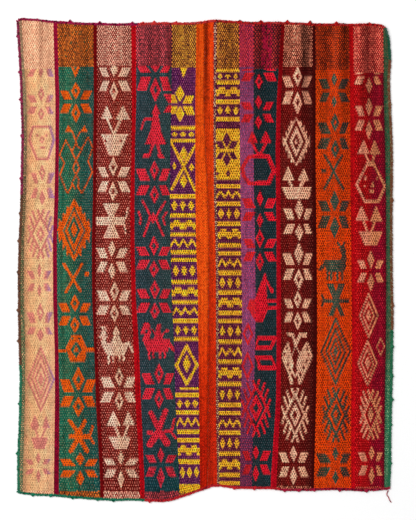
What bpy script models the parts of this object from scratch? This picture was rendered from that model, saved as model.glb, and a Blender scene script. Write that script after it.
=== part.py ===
"""Woven rug: two long panels joined down the middle, with a crocheted edging all round.

Metres, +Z up, +Y to the top of the design. The cloth lies flat on z = 0 with its middle over the
origin. Sizes in the tables are millimetres.
"""

import math

import bmesh
import bpy

MM = 0.001

# The cloth
CLOTH_THICKNESS = 0.0030
SELVEDGE_THINNING = 0.62
PANEL_COLUMNS = 24
PANEL_ROWS = 22
GAP = 0.0003
# a little wider, because both selvedges lean in over the seam
SEAM_GAP = 0.0007

# The crocheted edging
EDGING_WIDTH = 0.0043
EDGING_HEIGHT = 0.0036
EDGING_EASE = 0.0008
EDGING_STEP = 0.016
PICOT_HALF_WIDTH = 0.0050

# The loose yarn end at the bottom right corner
TAIL_DIAMETER = 0.0022
TAIL_POINTS = 14

# Outer line of the edging down the sides, and the seam between the panels, by height
# (y, left side, seam, right side)
SIDE_LINES = [
    (516, -405.0, 0.0, 384.0),
    (504, -405.0, 0.0, 388.0),
    (494, -404.5, 0.0, 391.5),
    (473, -403.3, 0.0, 397.5),
    (430, -400.5, -1.0, 402.0),
    (387, -398.2, -2.0, 398.8),
    (344, -397.0, -2.5, 400.5),
    (301, -395.4, -1.5, 402.7),
    (258, -394.7, 0.0, 404.6),
    (215, -396.0, 2.0, 405.5),
    (129, -397.1, 6.5, 404.8),
    (43, -400.8, 8.6, 404.4),
    (-43, -402.7, 8.0, 405.3),
    (-129, -402.1, 7.2, 406.8),
    (-215, -399.9, 6.5, 405.1),
    (-258, -398.6, 6.5, 404.8),
    (-344, -400.5, 6.4, 402.5),
    (-430, -404.4, 6.0, 401.6),
    (-473, -404.0, 5.4, 400.2),
    (-520, -403.0, 5.4, 398.0),
]

# Outer line of the edging along the top (x, y)
TOP_LINE = [
    (-405, 513.5),
    (-402, 518.5),
    (-394, 520.5),
    (-363, 518.6),
    (-329, 514.5),
    (-295, 512.8),
    (-260, 510.2),
    (-226, 510.0),
    (-191, 508.5),
    (-157, 509.3),
    (-123, 510.4),
    (-88, 511.5),
    (-54, 510.6),
    (-20, 511.4),
    (-2, 514.3),
    (15, 516.5),
    (32, 516.4),
    (67, 514.0),
    (101, 512.1),
    (170, 512.0),
    (204, 510.4),
    (239, 508.8),
    (308, 508.2),
    (370, 508.3),
    (380, 506.5),
    (386, 501.0),
]

# Outer line of the edging along the bottom (x, y)
BOTTOM_LINE = [
    (-404, -499.5),
    (-398, -502.5),
    (-380, -504.8),
    (-363, -507.0),
    (-329, -508.0),
    (-295, -511.2),
    (-226, -516.4),
    (-191, -518.0),
    (-157, -517.4),
    (-123, -519.2),
    (-88, -520.3),
    (-71, -517.8),
    (-54, -511.5),
    (-37, -506.3),
    (-20, -499.8),
    (-2, -494.1),
    (15, -487.6),
    (32, -487.2),
    (50, -489.6),
    (67, -492.0),
    (135, -492.4),
    (170, -496.4),
    (204, -497.2),
    (273, -494.8),
    (307, -495.6),
    (342, -497.8),
    (376, -495.6),
    (392, -494.2),
    (398, -492.5),
]

# Lengths of yarn along each side (name, first end, last end, linear colour)
TOP_LENGTHS = [
    ("edging_top_left", -405, -143, (0.36, 0.010, 0.10)),
    ("edging_top_middle", -143, 22, (0.60, 0.055, 0.045)),
    ("edging_top_right", 22, 386, (0.55, 0.015, 0.015)),
]
BOTTOM_LENGTHS = [
    ("edging_bottom_left", -404, -129, (0.010, 0.17, 0.10)),
    ("edging_bottom_middle", -129, 161, (0.42, 0.010, 0.025)),
    ("edging_bottom_right", 161, 398, (0.38, 0.008, 0.05)),
]
LEFT_LENGTHS = [
    ("edging_left_lower", -495.5, -226, (0.025, 0.14, 0.075)),
    ("edging_left_middle", -226, 140, (0.075, 0.020, 0.020)),
    ("edging_left_upper", 140, 509.5, (0.23, 0.008, 0.07)),
]
RIGHT_LENGTHS = [
    ("edging_right_lower", -488, -150, (0.020, 0.12, 0.06)),
    ("edging_right_middle", -150, 430, (0.22, 0.045, 0.025)),
    ("edging_right_upper", 430, 494.5, (0.012, 0.12, 0.055)),
]

# Small crocheted knobs along each side (place along the side, reach beyond the edging)
TOP_PICOTS = [
    (-291, 4.6), (-227, 4.0), (-157, 3.4), (-134, 2.4), (-110, 4.2), (-63, 3.4), (74, 3.2),
    (119, 4.0), (176, 5.6), (225, 6.6), (281, 5.4), (352, 3.2),
]
BOTTOM_PICOTS = [
    (-369, 2.4), (-331, 2.2), (-284, 3.0), (-230, 2.6), (-196, 2.6), (-118, 2.8), (64, 2.4),
    (107, 2.6), (172, 3.4), (202, 2.2), (236, 2.4), (290, 4.0), (348, 2.6),
]
LEFT_PICOTS = [
    (480, 2.8), (403, 3.6), (344, 4.0), (266, 3.2), (174, 3.4), (99, 2.4), (40, 4.0),
    (-27, 3.2), (-109, 4.2), (-175, 4.0), (-310, 2.8), (-417, 4.0),
]
RIGHT_PICOTS = [
    (335, 2.2), (129, 2.2), (-97, 2.0), (-185, 2.4), (-249, 2.4), (-299, 4.2), (-353, 2.2),
    (-436, 2.4),
]

# Soft ridges that rise where the edging draws the top of the cloth in
# (x, half width, height, reach down the cloth)
RIDGES = [
    (-370, 13, 2.6, 105),
    (-331, 13, 2.4, 105),
    (-107, 12, 2.8, 110),
    (-70, 12, 2.8, 110),
    (-20, 13, 3.4, 200),
    (26, 13, 3.0, 200),
    (122, 16, 2.8, 120),
    (190, 14, 4.2, 130),
    (257, 16, 3.6, 120),
    (318, 14, 3.4, 120),
    (366, 11, 3.2, 110),
]


def along(table, place, column=1):
    """Reads a line of a table at a place between its rows."""
    rows = sorted(table)
    if place <= rows[0][0]:
        return rows[0][column]
    for low, high in zip(rows, rows[1:]):
        if place <= high[0]:
            part = (place - low[0]) / (high[0] - low[0])
            return low[column] + part * (high[column] - low[column])
    return rows[-1][column]


def lift(x, y):
    """Height of the underside over the floor, in metres, at a place in metres."""
    height = 0.0
    down = max(0.0, 0.508 - y)
    for centre, half, rise, reach in RIDGES:
        fade = math.exp(-((down / (reach * MM)) ** 2) * 2.5)
        across = (x - centre * MM) / (half * MM)
        height += rise * MM * math.exp(-across * across) * fade
    return 0.0 if height < 0.00012 else height


def colour_of(name, colour, roughness=0.85):
    material = bpy.data.materials.new(name)
    material.use_nodes = True
    shader = material.node_tree.nodes["Principled BSDF"]
    shader.inputs["Base Color"].default_value = (*colour, 1.0)
    shader.inputs["Roughness"].default_value = roughness
    shader.inputs["Metallic"].default_value = 0.0
    return material


def panel(name, left_column, right_column, colour, edges):
    """A woven panel: a grid drawn out to the panel's outline, then thickened upwards.

    Its outer edges are noted in edges, for the edging to follow.
    """
    inset_left = EDGING_WIDTH + GAP if left_column == 1 else SEAM_GAP / 2
    inset_right = EDGING_WIDTH + GAP if right_column == 3 else SEAM_GAP / 2
    bpy.ops.mesh.primitive_grid_add(
        x_subdivisions=PANEL_COLUMNS, y_subdivisions=PANEL_ROWS, size=2.0
    )
    body = bpy.context.active_object
    body.name = name
    body.data.name = name
    edge = body.vertex_groups.new(name="cloth")
    for vertex in body.data.vertices:
        across = (vertex.co.x + 1.0) / 2.0
        up = (vertex.co.y + 1.0) / 2.0
        # rows lie closer together towards the top, where the ridges are
        spread = up + 0.22 * math.sin(math.pi * up)
        y = (-0.495 + 1.003 * spread) / MM
        for _ in range(3):
            left = along(SIDE_LINES, y, left_column) + inset_left / MM
            right = along(SIDE_LINES, y, right_column) - inset_right / MM
            x = left + across * (right - left)
            low = along(BOTTOM_LINE, x) + (EDGING_WIDTH + GAP) / MM
            high = along(TOP_LINE, x) - (EDGING_WIDTH + GAP) / MM
            y = low + spread * (high - low)
        vertex.co = (x * MM, y * MM, lift(x * MM, y * MM))
        on_edge = across < 0.001 or across > 0.999
        edge.add([vertex.index], SELVEDGE_THINNING if on_edge else 1.0, "REPLACE")
        if up > 0.999:
            edges["top"].append((x, y))
        if up < 0.001:
            edges["bottom"].append((x, y))
        if across < 0.001 and left_column == 1:
            edges["left"].append((y, x))
        if across > 0.999 and right_column == 3:
            edges["right"].append((y, x))
    thick = body.modifiers.new("cloth thickness", "SOLIDIFY")
    thick.thickness = CLOTH_THICKNESS
    thick.offset = 1.0
    thick.vertex_group = "cloth"
    body.data.materials.append(colour_of(name, colour))
    return body


def knob(place, picots):
    """How far the edging reaches out beyond its own width at a place along a side, in mm."""
    reach = 0.0
    for centre, height in picots:
        off = abs(place - centre) / (PICOT_HALF_WIDTH / MM)
        if off < 1.0:
            reach = max(reach, height * math.cos(off * math.pi / 2.0) ** 0.7)
    return reach


def edging(name, first, last, line, column, side, picots, colour, edge):
    """One yarn's length of edging: a soft bar that follows the cloth, wider at each knob."""
    places = [first, last] + [p for p, _ in edge if first + 2.0 < p < last - 2.0]
    if side in ("left", "right"):
        count = max(2, round((last - first) * MM / EDGING_STEP / 2))
        for step in range(1, count):
            place = first + (last - first) * step / count
            if min(abs(place - p) for p in places) > 8.0:
                places.append(place)
    half = PICOT_HALF_WIDTH / MM
    for centre, _ in picots:
        if first + half < centre < last - half:
            places += [centre + half * k for k in (-1.0, -0.6, 0.0, 0.6, 1.0)]
    places = sorted(places)
    places = [p for k, p in enumerate(places) if k == 0 or p - places[k - 1] > 0.05]
    mesh = bmesh.new()
    rings = []
    for index, place in enumerate(places):
        outer = along(line, place, column)
        sign = 1.0 if side in ("top", "right") else -1.0
        inner = along(edge, place) + sign * GAP / MM
        # round the corners of the outline
        inner = sign * min(sign * inner, sign * outer - 3.0)
        reach = knob(place, picots) if first + half < place < last - half else 0.0
        width = sign * (outer - inner) + reach
        height = EDGING_HEIGHT / MM - 0.06 * reach
        ease = EDGING_EASE / MM
        section = [
            (0.0, 0.55 * height),
            (ease, 0.0),
            (width - ease, 0.0),
            (width, 0.50 * height),
            (width - 1.3 * ease, height),
            (1.3 * ease, height),
        ]
        if index in (0, len(places) - 1):
            section = [(width / 2 + (d - width / 2) * 0.75, height / 2 + (z - height / 2) * 0.7)
                       for d, z in section]
        shift = 0.15 if index == 0 else (-0.15 if index == len(places) - 1 else 0.0)
        ring = []
        for out, up in section:
            if side in ("top", "bottom"):
                x = (place + shift) * MM
                y = (inner + sign * out) * MM
            else:
                x = (inner + sign * out) * MM
                y = (place + shift) * MM
            z = up * MM + lift(x, y)
            ring.append(mesh.verts.new((x, y, z)))
        rings.append(ring)
    for before, after in zip(rings, rings[1:]):
        for k in range(len(before)):
            n = (k + 1) % len(before)
            mesh.faces.new((before[k], before[n], after[n], after[k]))
    mesh.faces.new(rings[0])
    mesh.faces.new(list(reversed(rings[-1])))
    bmesh.ops.recalc_face_normals(mesh, faces=mesh.faces)
    data = bpy.data.meshes.new(name)
    mesh.to_mesh(data)
    mesh.free()
    body = bpy.data.objects.new(name, data)
    data.materials.append(colour_of(name, colour))
    return body


def yarn_tail(name, route, colour):
    """The loose end of edging yarn, a thin cord lying on the floor."""
    curve = bpy.data.curves.new(name, "CURVE")
    curve.dimensions = "3D"
    curve.bevel_depth = TAIL_DIAMETER / 2
    curve.bevel_resolution = 2
    curve.use_fill_caps = True
    points = []
    spans = len(route) - 1
    for step in range(TAIL_POINTS):
        place = step / (TAIL_POINTS - 1) * spans
        k = min(int(place), spans - 1)
        t = place - k
        a, b = route[max(k - 1, 0)], route[k]
        c, d = route[k + 1], route[min(k + 2, spans)]
        points.append([
            0.5 * (2 * b[i] + (c[i] - a[i]) * t + (2 * a[i] - 5 * b[i] + 4 * c[i] - d[i]) * t * t
                   + (3 * b[i] - a[i] - 3 * c[i] + d[i]) * t ** 3) * MM
            for i in range(3)
        ])
    spline = curve.splines.new("POLY")
    spline.points.add(len(points) - 1)
    for target, point in zip(spline.points, points):
        target.co = (*point, 1.0)
    body = bpy.data.objects.new(name, curve)
    curve.materials.append(colour_of(name, colour))
    return body


for old in list(bpy.data.objects):
    bpy.data.objects.remove(old, do_unlink=True)

rug = bpy.data.collections.new("woven_rug")
bpy.context.scene.collection.children.link(rug)

# The two panels, left and right of the centre seam
cloth_edges = {"top": [], "bottom": [], "left": [], "right": []}
for cloth in (
    panel("left_panel", 1, 2, (0.30, 0.10, 0.06), cloth_edges),
    panel("right_panel", 2, 3, (0.33, 0.05, 0.03), cloth_edges),
):
    for home in list(cloth.users_collection):
        home.objects.unlink(cloth)
    rug.objects.link(cloth)

# The edging, yarn by yarn, along the four sides
for lengths, line, column, side, picots in (
    (TOP_LENGTHS, TOP_LINE, 1, "top", TOP_PICOTS),
    (BOTTOM_LENGTHS, BOTTOM_LINE, 1, "bottom", BOTTOM_PICOTS),
    (LEFT_LENGTHS, SIDE_LINES, 1, "left", LEFT_PICOTS),
    (RIGHT_LENGTHS, SIDE_LINES, 3, "right", RIGHT_PICOTS),
):
    for name, first, last, colour in lengths:
        rug.objects.link(
            edging(name, first, last, line, column, side, picots, colour, cloth_edges[side])
        )

# The loose yarn end, from the last stitch at the bottom right corner
TAIL_ROUTE = [
    (394.0, -495.0, 1.3),
    (390.6, -503.5, 1.2),
    (394.2, -509.6, 1.2),
    (396.4, -515.4, 1.2),
    (400.0, -521.0, 1.2),
]
rug.objects.link(yarn_tail("yarn_tail", TAIL_ROUTE, (0.30, 0.10, 0.10)))
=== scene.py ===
import math

import bmesh
import bpy
import numpy as np
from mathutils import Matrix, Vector


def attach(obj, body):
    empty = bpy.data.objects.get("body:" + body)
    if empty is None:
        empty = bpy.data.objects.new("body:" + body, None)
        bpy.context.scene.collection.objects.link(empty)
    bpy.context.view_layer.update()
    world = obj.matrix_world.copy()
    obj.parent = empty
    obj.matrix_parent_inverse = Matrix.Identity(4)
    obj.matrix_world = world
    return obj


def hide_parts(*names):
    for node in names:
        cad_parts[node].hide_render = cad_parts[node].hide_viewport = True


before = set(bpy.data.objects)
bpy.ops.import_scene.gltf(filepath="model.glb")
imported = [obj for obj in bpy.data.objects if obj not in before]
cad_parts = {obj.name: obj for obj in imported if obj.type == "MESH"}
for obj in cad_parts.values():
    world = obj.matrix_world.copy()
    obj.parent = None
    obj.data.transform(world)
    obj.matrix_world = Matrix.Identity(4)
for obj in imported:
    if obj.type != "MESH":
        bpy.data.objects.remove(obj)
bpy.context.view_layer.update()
bpy.ops.object.select_all(action="DESELECT")

# Camera: straight above the rug, with the top of the design at the top of the picture.
# The design is charted in warp ends across and down, one end being 2.15 mm of cloth.
END = 0.00215
CHART_MIDDLE = (205.0, 260.0)
PICTURE_MIDDLE = (208.0, 260.0)
PICTURE_ENDS_TALL = 520
CAMERA_HEIGHT = 4.0
SENSOR_WIDTH = 36.0


def from_chart(across, down):
    """Place on the cloth, in metres, of a place on the chart."""
    return (across - CHART_MIDDLE[0]) * END, (CHART_MIDDLE[1] - down) * END


camera_data = bpy.data.cameras.new("camera")
camera_data.sensor_width = SENSOR_WIDTH
camera_data.lens = SENSOR_WIDTH * CAMERA_HEIGHT / (PICTURE_ENDS_TALL * END)
camera = bpy.data.objects.new("camera", camera_data)
bpy.context.scene.collection.objects.link(camera)
camera.location = (*from_chart(*PICTURE_MIDDLE), CAMERA_HEIGHT)
bpy.context.scene.camera = camera

# Loose yarn end: the last of the edging's wool, two plies, left hanging at the bottom right
# corner. It is limp and lies on the floor. Millimetres.
MM = 0.001
TAIL_DIAMETER = 0.0022
TAIL_POINTS = 18
TAIL_ROUTE = [
    (394.0, -495.0, 1.3),
    (390.6, -503.5, 1.2),
    (394.2, -509.6, 1.2),
    (396.4, -515.4, 1.2),
    (400.0, -521.0, 1.2),
]
TAIL_COLOURS = ((196, 104, 112), (96, 40, 52))


def to_light(colour):
    """Linear light of display colours from 0 to 255."""
    parts = np.clip(colour, 0, 255) / 255.0
    return np.where(parts <= 0.04045, parts / 12.92, ((parts + 0.055) / 1.055) ** 2.4)


def smooth_line(route, count):
    """Points along a smooth curve through a short route."""
    points = []
    spans = len(route) - 1
    for step in range(count):
        place = step / (count - 1) * spans
        k = min(int(place), spans - 1)
        t = place - k
        a, b = Vector(route[max(k - 1, 0)]), Vector(route[k])
        c, d = Vector(route[k + 1]), Vector(route[min(k + 2, spans)])
        points.append(
            0.5 * (2 * b + (c - a) * t + (2 * a - 5 * b + 4 * c - d) * t * t
                   + (3 * b - a - 3 * c + d) * t ** 3) * MM
        )
    return points


def node_group(name, inputs, outputs):
    """An empty shader node group with its sockets, and its two end nodes."""
    group = bpy.data.node_groups.new(name, "ShaderNodeTree")
    for label, kind, value in inputs:
        socket = group.interface.new_socket(name=label, in_out="INPUT", socket_type=kind)
        if value is not None:
            socket.default_value = value
    for label, kind in outputs:
        group.interface.new_socket(name=label, in_out="OUTPUT", socket_type=kind)
    start = group.nodes.new("NodeGroupInput")
    end = group.nodes.new("NodeGroupOutput")
    start.location, end.location = (-900, 0), (700, 0)
    return group, start, end


def add_math(tree, operation, first, second=None, third=None):
    """Output of a new math node, fed by sockets or by plain numbers."""
    node = tree.nodes.new("ShaderNodeMath")
    node.operation = operation
    for slot, value in enumerate((first, second, third)):
        if value is None:
            continue
        if isinstance(value, bpy.types.NodeSocket):
            tree.links.new(value, node.inputs[slot])
        else:
            node.inputs[slot].default_value = value
    return node.outputs[0]


# Spun wool: fibres and patches of dye to a metre, how much the plies wander, where the second dye
# takes over, how much the fibres stand out, and how the relief shades it and the fibres roughen it
# (gain, base)
FIBRE_SCALE, DYE_PATCH_SCALE = 2600.0, 210.0
PLY_WANDER = 1.2
DYE_EDGE = (0.46, 0.54)
FIBRE_RELIEF = 0.35
YARN_SHADE = (0.30, 0.78)
YARN_ROUGHNESS = (0.2, 0.75)


def make_spun_wool():
    """Spun wool seen close: the slanting plies, stray fibres and small changes of dye."""
    group, start, end = node_group(
        "spun wool",
        [("Main", "NodeSocketColor", None), ("Second", "NodeSocketColor", None),
         ("Second Share", "NodeSocketFloat", 0.3), ("Ply", "NodeSocketFloat", 900.0)],
        [("Color", "NodeSocketColor"), ("Roughness", "NodeSocketFloat"),
         ("Height", "NodeSocketFloat")],
    )
    links = group.links
    place = group.nodes.new("ShaderNodeTexCoord").outputs["Object"]
    plies = group.nodes.new("ShaderNodeTexWave")
    plies.wave_type, plies.bands_direction = "BANDS", "DIAGONAL"
    plies.inputs["Distortion"].default_value = PLY_WANDER
    plies.inputs["Detail Scale"].default_value = 2.0
    links.new(place, plies.inputs["Vector"])
    links.new(start.outputs["Ply"], plies.inputs["Scale"])
    fibres = group.nodes.new("ShaderNodeTexNoise")
    fibres.inputs["Scale"].default_value = FIBRE_SCALE
    fibres.inputs["Detail"].default_value = 3.0
    links.new(place, fibres.inputs["Vector"])
    dye = group.nodes.new("ShaderNodeTexNoise")
    dye.inputs["Scale"].default_value = DYE_PATCH_SCALE
    dye.inputs["Detail"].default_value = 1.5
    links.new(place, dye.inputs["Vector"])
    share = add_math(group, "SUBTRACT", start.outputs["Second Share"], 0.5)
    mask = add_math(group, "ADD", dye.outputs["Fac"], share)
    step = group.nodes.new("ShaderNodeMapRange")
    step.inputs["From Min"].default_value = DYE_EDGE[0]
    step.inputs["From Max"].default_value = DYE_EDGE[1]
    links.new(mask, step.inputs["Value"])
    mix = group.nodes.new("ShaderNodeMix")
    mix.data_type = "RGBA"
    links.new(step.outputs["Result"], mix.inputs["Factor"])
    links.new(start.outputs["Main"], mix.inputs["A"])
    links.new(start.outputs["Second"], mix.inputs["B"])
    height = add_math(group, "MULTIPLY_ADD", fibres.outputs["Fac"], FIBRE_RELIEF,
                      plies.outputs["Fac"])
    shade = group.nodes.new("ShaderNodeHueSaturation")
    links.new(mix.outputs["Result"], shade.inputs["Color"])
    links.new(add_math(group, "MULTIPLY_ADD", height, *YARN_SHADE), shade.inputs["Value"])
    links.new(shade.outputs["Color"], end.inputs["Color"])
    links.new(add_math(group, "MULTIPLY_ADD", fibres.outputs["Fac"], *YARN_ROUGHNESS),
              end.inputs["Roughness"])
    links.new(height, end.inputs["Height"])
    return group


SPUN_WOOL = make_spun_wool()


def matt_material(name, group, relief_strength, relief_depth, shine):
    """A matt material whose colour, roughness and relief come from a node group."""
    material = bpy.data.materials.new(name)
    material.use_nodes = True
    tree = material.node_tree
    shader = tree.nodes["Principled BSDF"]
    source = tree.nodes.new("ShaderNodeGroup")
    source.node_tree = group
    relief = tree.nodes.new("ShaderNodeBump")
    relief.inputs["Strength"].default_value = relief_strength
    relief.inputs["Distance"].default_value = relief_depth
    tree.links.new(source.outputs["Height"], relief.inputs["Height"])
    tree.links.new(source.outputs["Color"], shader.inputs["Base Color"])
    tree.links.new(source.outputs["Roughness"], shader.inputs["Roughness"])
    tree.links.new(relief.outputs["Normal"], shader.inputs["Normal"])
    shader.inputs["Specular IOR Level"].default_value = shine
    return material, source


def wool_material(name, main, second, share, ply=900.0):
    """Material of a yarn: spun wool in two shades of dye, its plies this many to a metre."""
    material, wool = matt_material(name, SPUN_WOOL, relief_strength=0.6, relief_depth=0.0006,
                                   shine=0.04)
    wool.inputs["Main"].default_value = (*to_light(main), 1.0)
    wool.inputs["Second"].default_value = (*to_light(second), 1.0)
    wool.inputs["Second Share"].default_value = share
    wool.inputs["Ply"].default_value = ply
    return material


def finish_piece(name, mesh, material, nodes):
    """Puts a mesh in the scene as a piece that stands for CAD nodes."""
    piece = bpy.data.objects.new(name, mesh)
    bpy.context.scene.collection.objects.link(piece)
    mesh.materials.append(material)
    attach(piece, "root")
    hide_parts(*nodes)
    return piece


tail_curve = bpy.data.curves.new("loose_yarn_end", "CURVE")
tail_curve.dimensions = "3D"
tail_curve.bevel_depth = TAIL_DIAMETER / 2
tail_curve.bevel_resolution = 3
tail_curve.use_fill_caps = True
tail_spline = tail_curve.splines.new("POLY")
tail_points = smooth_line(TAIL_ROUTE, TAIL_POINTS)
tail_spline.points.add(TAIL_POINTS - 1)
for target, point in zip(tail_spline.points, tail_points):
    target.co = (*point, 1.0)
loose_end = finish_piece(
    "loose_yarn_end", tail_curve, wool_material("tail wool", *TAIL_COLOURS, share=0.45),
    ["yarn_tail"],
)

# Left panel: a long cloth of wool, woven warp-faced on a simple loom, so that its pattern is made
# by the lengthwise yarns. Plain stripes part five patterned bands, and both ends are left as a
# fine two-colour check. It lies flat on the floor, puckered a little where the edging gathers it.
CLOTH_THICKNESS = 0.0030
SELVEDGE_THINNING = 0.62
SHEET_INSET = 0.0046
SEAM_GAP = 0.0003
CLOTH_ROWS = 470
BACK_COLUMNS, BACK_ROWS = 24, 22
RELIEF = 0.00012

# Outer line of the edging down the sides, and the seam, by height (y, left, seam, right), mm
LEFT_SIDE, SEAM_LINE, RIGHT_SIDE = 1, 2, 3
SIDE_LINES = [
    (516, -405.0, 0.0, 384.0),
    (504, -405.0, 0.0, 388.0),
    (494, -404.5, 0.0, 391.5),
    (473, -403.3, 0.0, 397.5),
    (430, -400.5, -1.0, 400.8),
    (387, -398.2, -2.0, 397.6),
    (344, -397.0, -2.5, 399.3),
    (301, -395.4, -1.5, 401.5),
    (258, -394.7, 0.0, 403.4),
    (215, -396.0, 2.0, 404.3),
    (129, -397.1, 6.5, 403.6),
    (43, -400.8, 8.6, 403.2),
    (-43, -402.7, 8.0, 404.1),
    (-129, -402.1, 7.2, 405.6),
    (-215, -399.9, 6.5, 403.9),
    (-258, -398.6, 6.5, 403.6),
    (-344, -400.5, 6.4, 401.3),
    (-430, -404.4, 6.0, 400.4),
    (-473, -404.0, 5.4, 399.0),
    (-520, -403.0, 5.4, 396.8),
]

# Outer line of the edging along the top (x, y), mm
TOP_LINE = [
    (-405, 513.5), (-402, 518.5), (-394, 520.5), (-363, 518.6), (-329, 514.5), (-295, 512.8),
    (-260, 510.2), (-226, 510.0), (-191, 508.5), (-157, 509.3), (-123, 510.4), (-88, 511.5),
    (-54, 510.6), (-20, 511.4), (-2, 514.3), (15, 516.5), (32, 516.4), (67, 514.0),
    (101, 512.1), (170, 512.0), (204, 510.4), (239, 508.8), (308, 508.2), (370, 508.3),
    (380, 506.5), (386, 501.0),
]

# Outer line of the edging along the bottom (x, y), mm
BOTTOM_LINE = [
    (-404, -499.5), (-398, -502.5), (-380, -504.8), (-363, -507.0), (-329, -508.0),
    (-295, -511.2), (-226, -516.4), (-191, -518.0), (-157, -517.4), (-123, -519.2),
    (-88, -520.3), (-71, -517.8), (-54, -511.5), (-37, -506.3), (-20, -499.8), (-2, -494.1),
    (15, -487.6), (32, -487.2), (50, -489.6), (67, -492.0), (135, -492.4), (170, -496.4),
    (204, -497.2), (273, -494.8), (307, -495.6), (342, -497.8), (376, -495.6), (392, -494.2),
    (398, -492.5),
]

# Ridges where the edging draws the top of the cloth in (x, half width, height, reach), mm
RIDGES = [
    (-357, 9, 2.8, 105),
    (-267, 14, 2.2, 105),
    (-178, 14, 2.4, 110),
    (-127, 13, 2.4, 110),
    (-84, 8, 2.8, 110),
    (-20, 9, 3.4, 200),
    (24, 9, 3.4, 200),
    (116, 6, 2.4, 110),
    (153, 8, 3.4, 120),
    (204, 9, 4.3, 130),
    (291, 9, 4.2, 120),
    (336, 9, 4.0, 120),
    (386, 8, 3.0, 110),
]

# Painted light on the backs and painted shade in the creases of those ridges (middle across,
# half width, strength), fading down the cloth
PAINTED_CREASE_LIGHT_AND_SHADE = [
    (22, 4, -0.15), (33, 5, 0.14), (41, 2, -0.30), (48, 3, -0.10), (73, 4, 0.14), (87, 4, -0.18),
    (104, 2, -0.20), (115, 4, 0.15), (128, 3, -0.22), (137, 3, 0.22), (156, 4, -0.16),
    (163, 2, 0.22), (169.5, 2.5, -0.35), (206, 1.8, -0.80), (211, 2, 0.20), (219, 3, 0.30),
    (230, 3, -0.20), (257, 2, 0.20), (261, 2, -0.30), (272, 3, 0.36), (280, 3, -0.50),
    (296, 4.5, 0.62), (305, 4, -1.10), (325, 4, -0.32), (335, 4, 0.62), (345.5, 3, -0.60),
    (357, 3.5, 0.45), (366.5, 4.5, -0.55), (380, 3.5, 0.42),
]
# Rows down the chart where the painted light and shade of the creases is whole, and where it is gone
PAINTED_CREASE_FADE = (62, 135)

# Where the stripes meet, across, at these places down the chart
LINE_PLACES = (30, 100, 150, 200, 240, 300, 350, 400, 480)
LEFT_STRIPE_LINES = [
    (22, 26.5, 27, 26, 24, 24, 25.5, 25, 23),
    (53.5, 55.5, 55.5, 54.5, 53, 53.2, 54.8, 55, 54),
    (57.5, 59.5, 59, 58.5, 57, 57.3, 58.6, 59.5, 59),
    (93.5, 94, 93.3, 93, 92, 92.3, 94.5, 96, 100.3),
    (97, 97, 96.5, 96, 95.5, 95.3, 97, 100, 103.5),
    (131.3, 132, 131.5, 130.5, 130.5, 131.5, 133.8, 135.5, 140),
    (136, 136.3, 135, 134.5, 134.5, 136, 139.2, 141, 144.5),
    (172, 171.5, 170.5, 170, 170.5, 172, 174.5, 175.5, 179.5),
    (196.5, 195.3, 195.3, 195.5, 196, 198, 198.5, 199, 200),
]

# Stripes of the left panel: name, warp ends, where the patterned part starts and ends down the
# chart, and how strongly the ground and the figures are flecked
LEFT_STRIPES = [
    ("green selvedge", 4, None, None, 0.0, 0.0),
    ("pale band", 27, 68.5, 490.5, 0.11, 0.14),
    ("crimson stripe", 4, None, None, 0.0, 0.0),
    ("green band", 33, 67.0, 491.0, 0.13, 0.62),
    ("maroon stripe", 3, None, None, 0.0, 0.0),
    ("cream band", 32, 65.5, 491.0, 0.47, 0.82),
    ("red stripe", 4, None, None, 0.0, 0.0),
    ("slate band", 33, 66.0, 491.0, 0.05, 0.80),
    ("yellow band", 23, 67.5, 492.5, 0.10, 0.95),
    ("orange stripe", 10, None, None, 0.0, 0.0),
]

# Dyes of the plain stripes: (place down, colour), a second dye dotted in, and across some stripes a
# share of their light (place across from 0 to 1, share), which beside the seam is painted shade and
# light
LEFT_PLAIN = {
    "green selvedge": [(25, (150, 118, 88)), (70, (140, 130, 96)), (200, (88, 80, 54)),
                       (330, (84, 104, 70)), (440, (92, 110, 78))],
    "green selvedge second": [(25, (206, 150, 118)), (200, (176, 128, 92)), (440, (188, 146, 108))],
    "crimson stripe": [(25, (153, 15, 50)), (480, (130, 6, 40))],
    "maroon stripe": [(25, (108, 6, 9)), (480, (108, 6, 9))],
    "red stripe": [(25, (165, 7, 17)), (480, (165, 7, 17))],
    "orange stripe": [(25, (226, 74, 14)), (300, (226, 75, 14)), (380, (202, 44, 7)),
                      (450, (174, 26, 5))],
    # painted shade where the cloth dips into the seam at the stripe's right side, painted light just
    # before it
    "orange stripe across": [(0.0, 0.88), (0.15, 1.02), (0.75, 1.14), (0.9, 1.0), (1.0, 0.70)],
}

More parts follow.
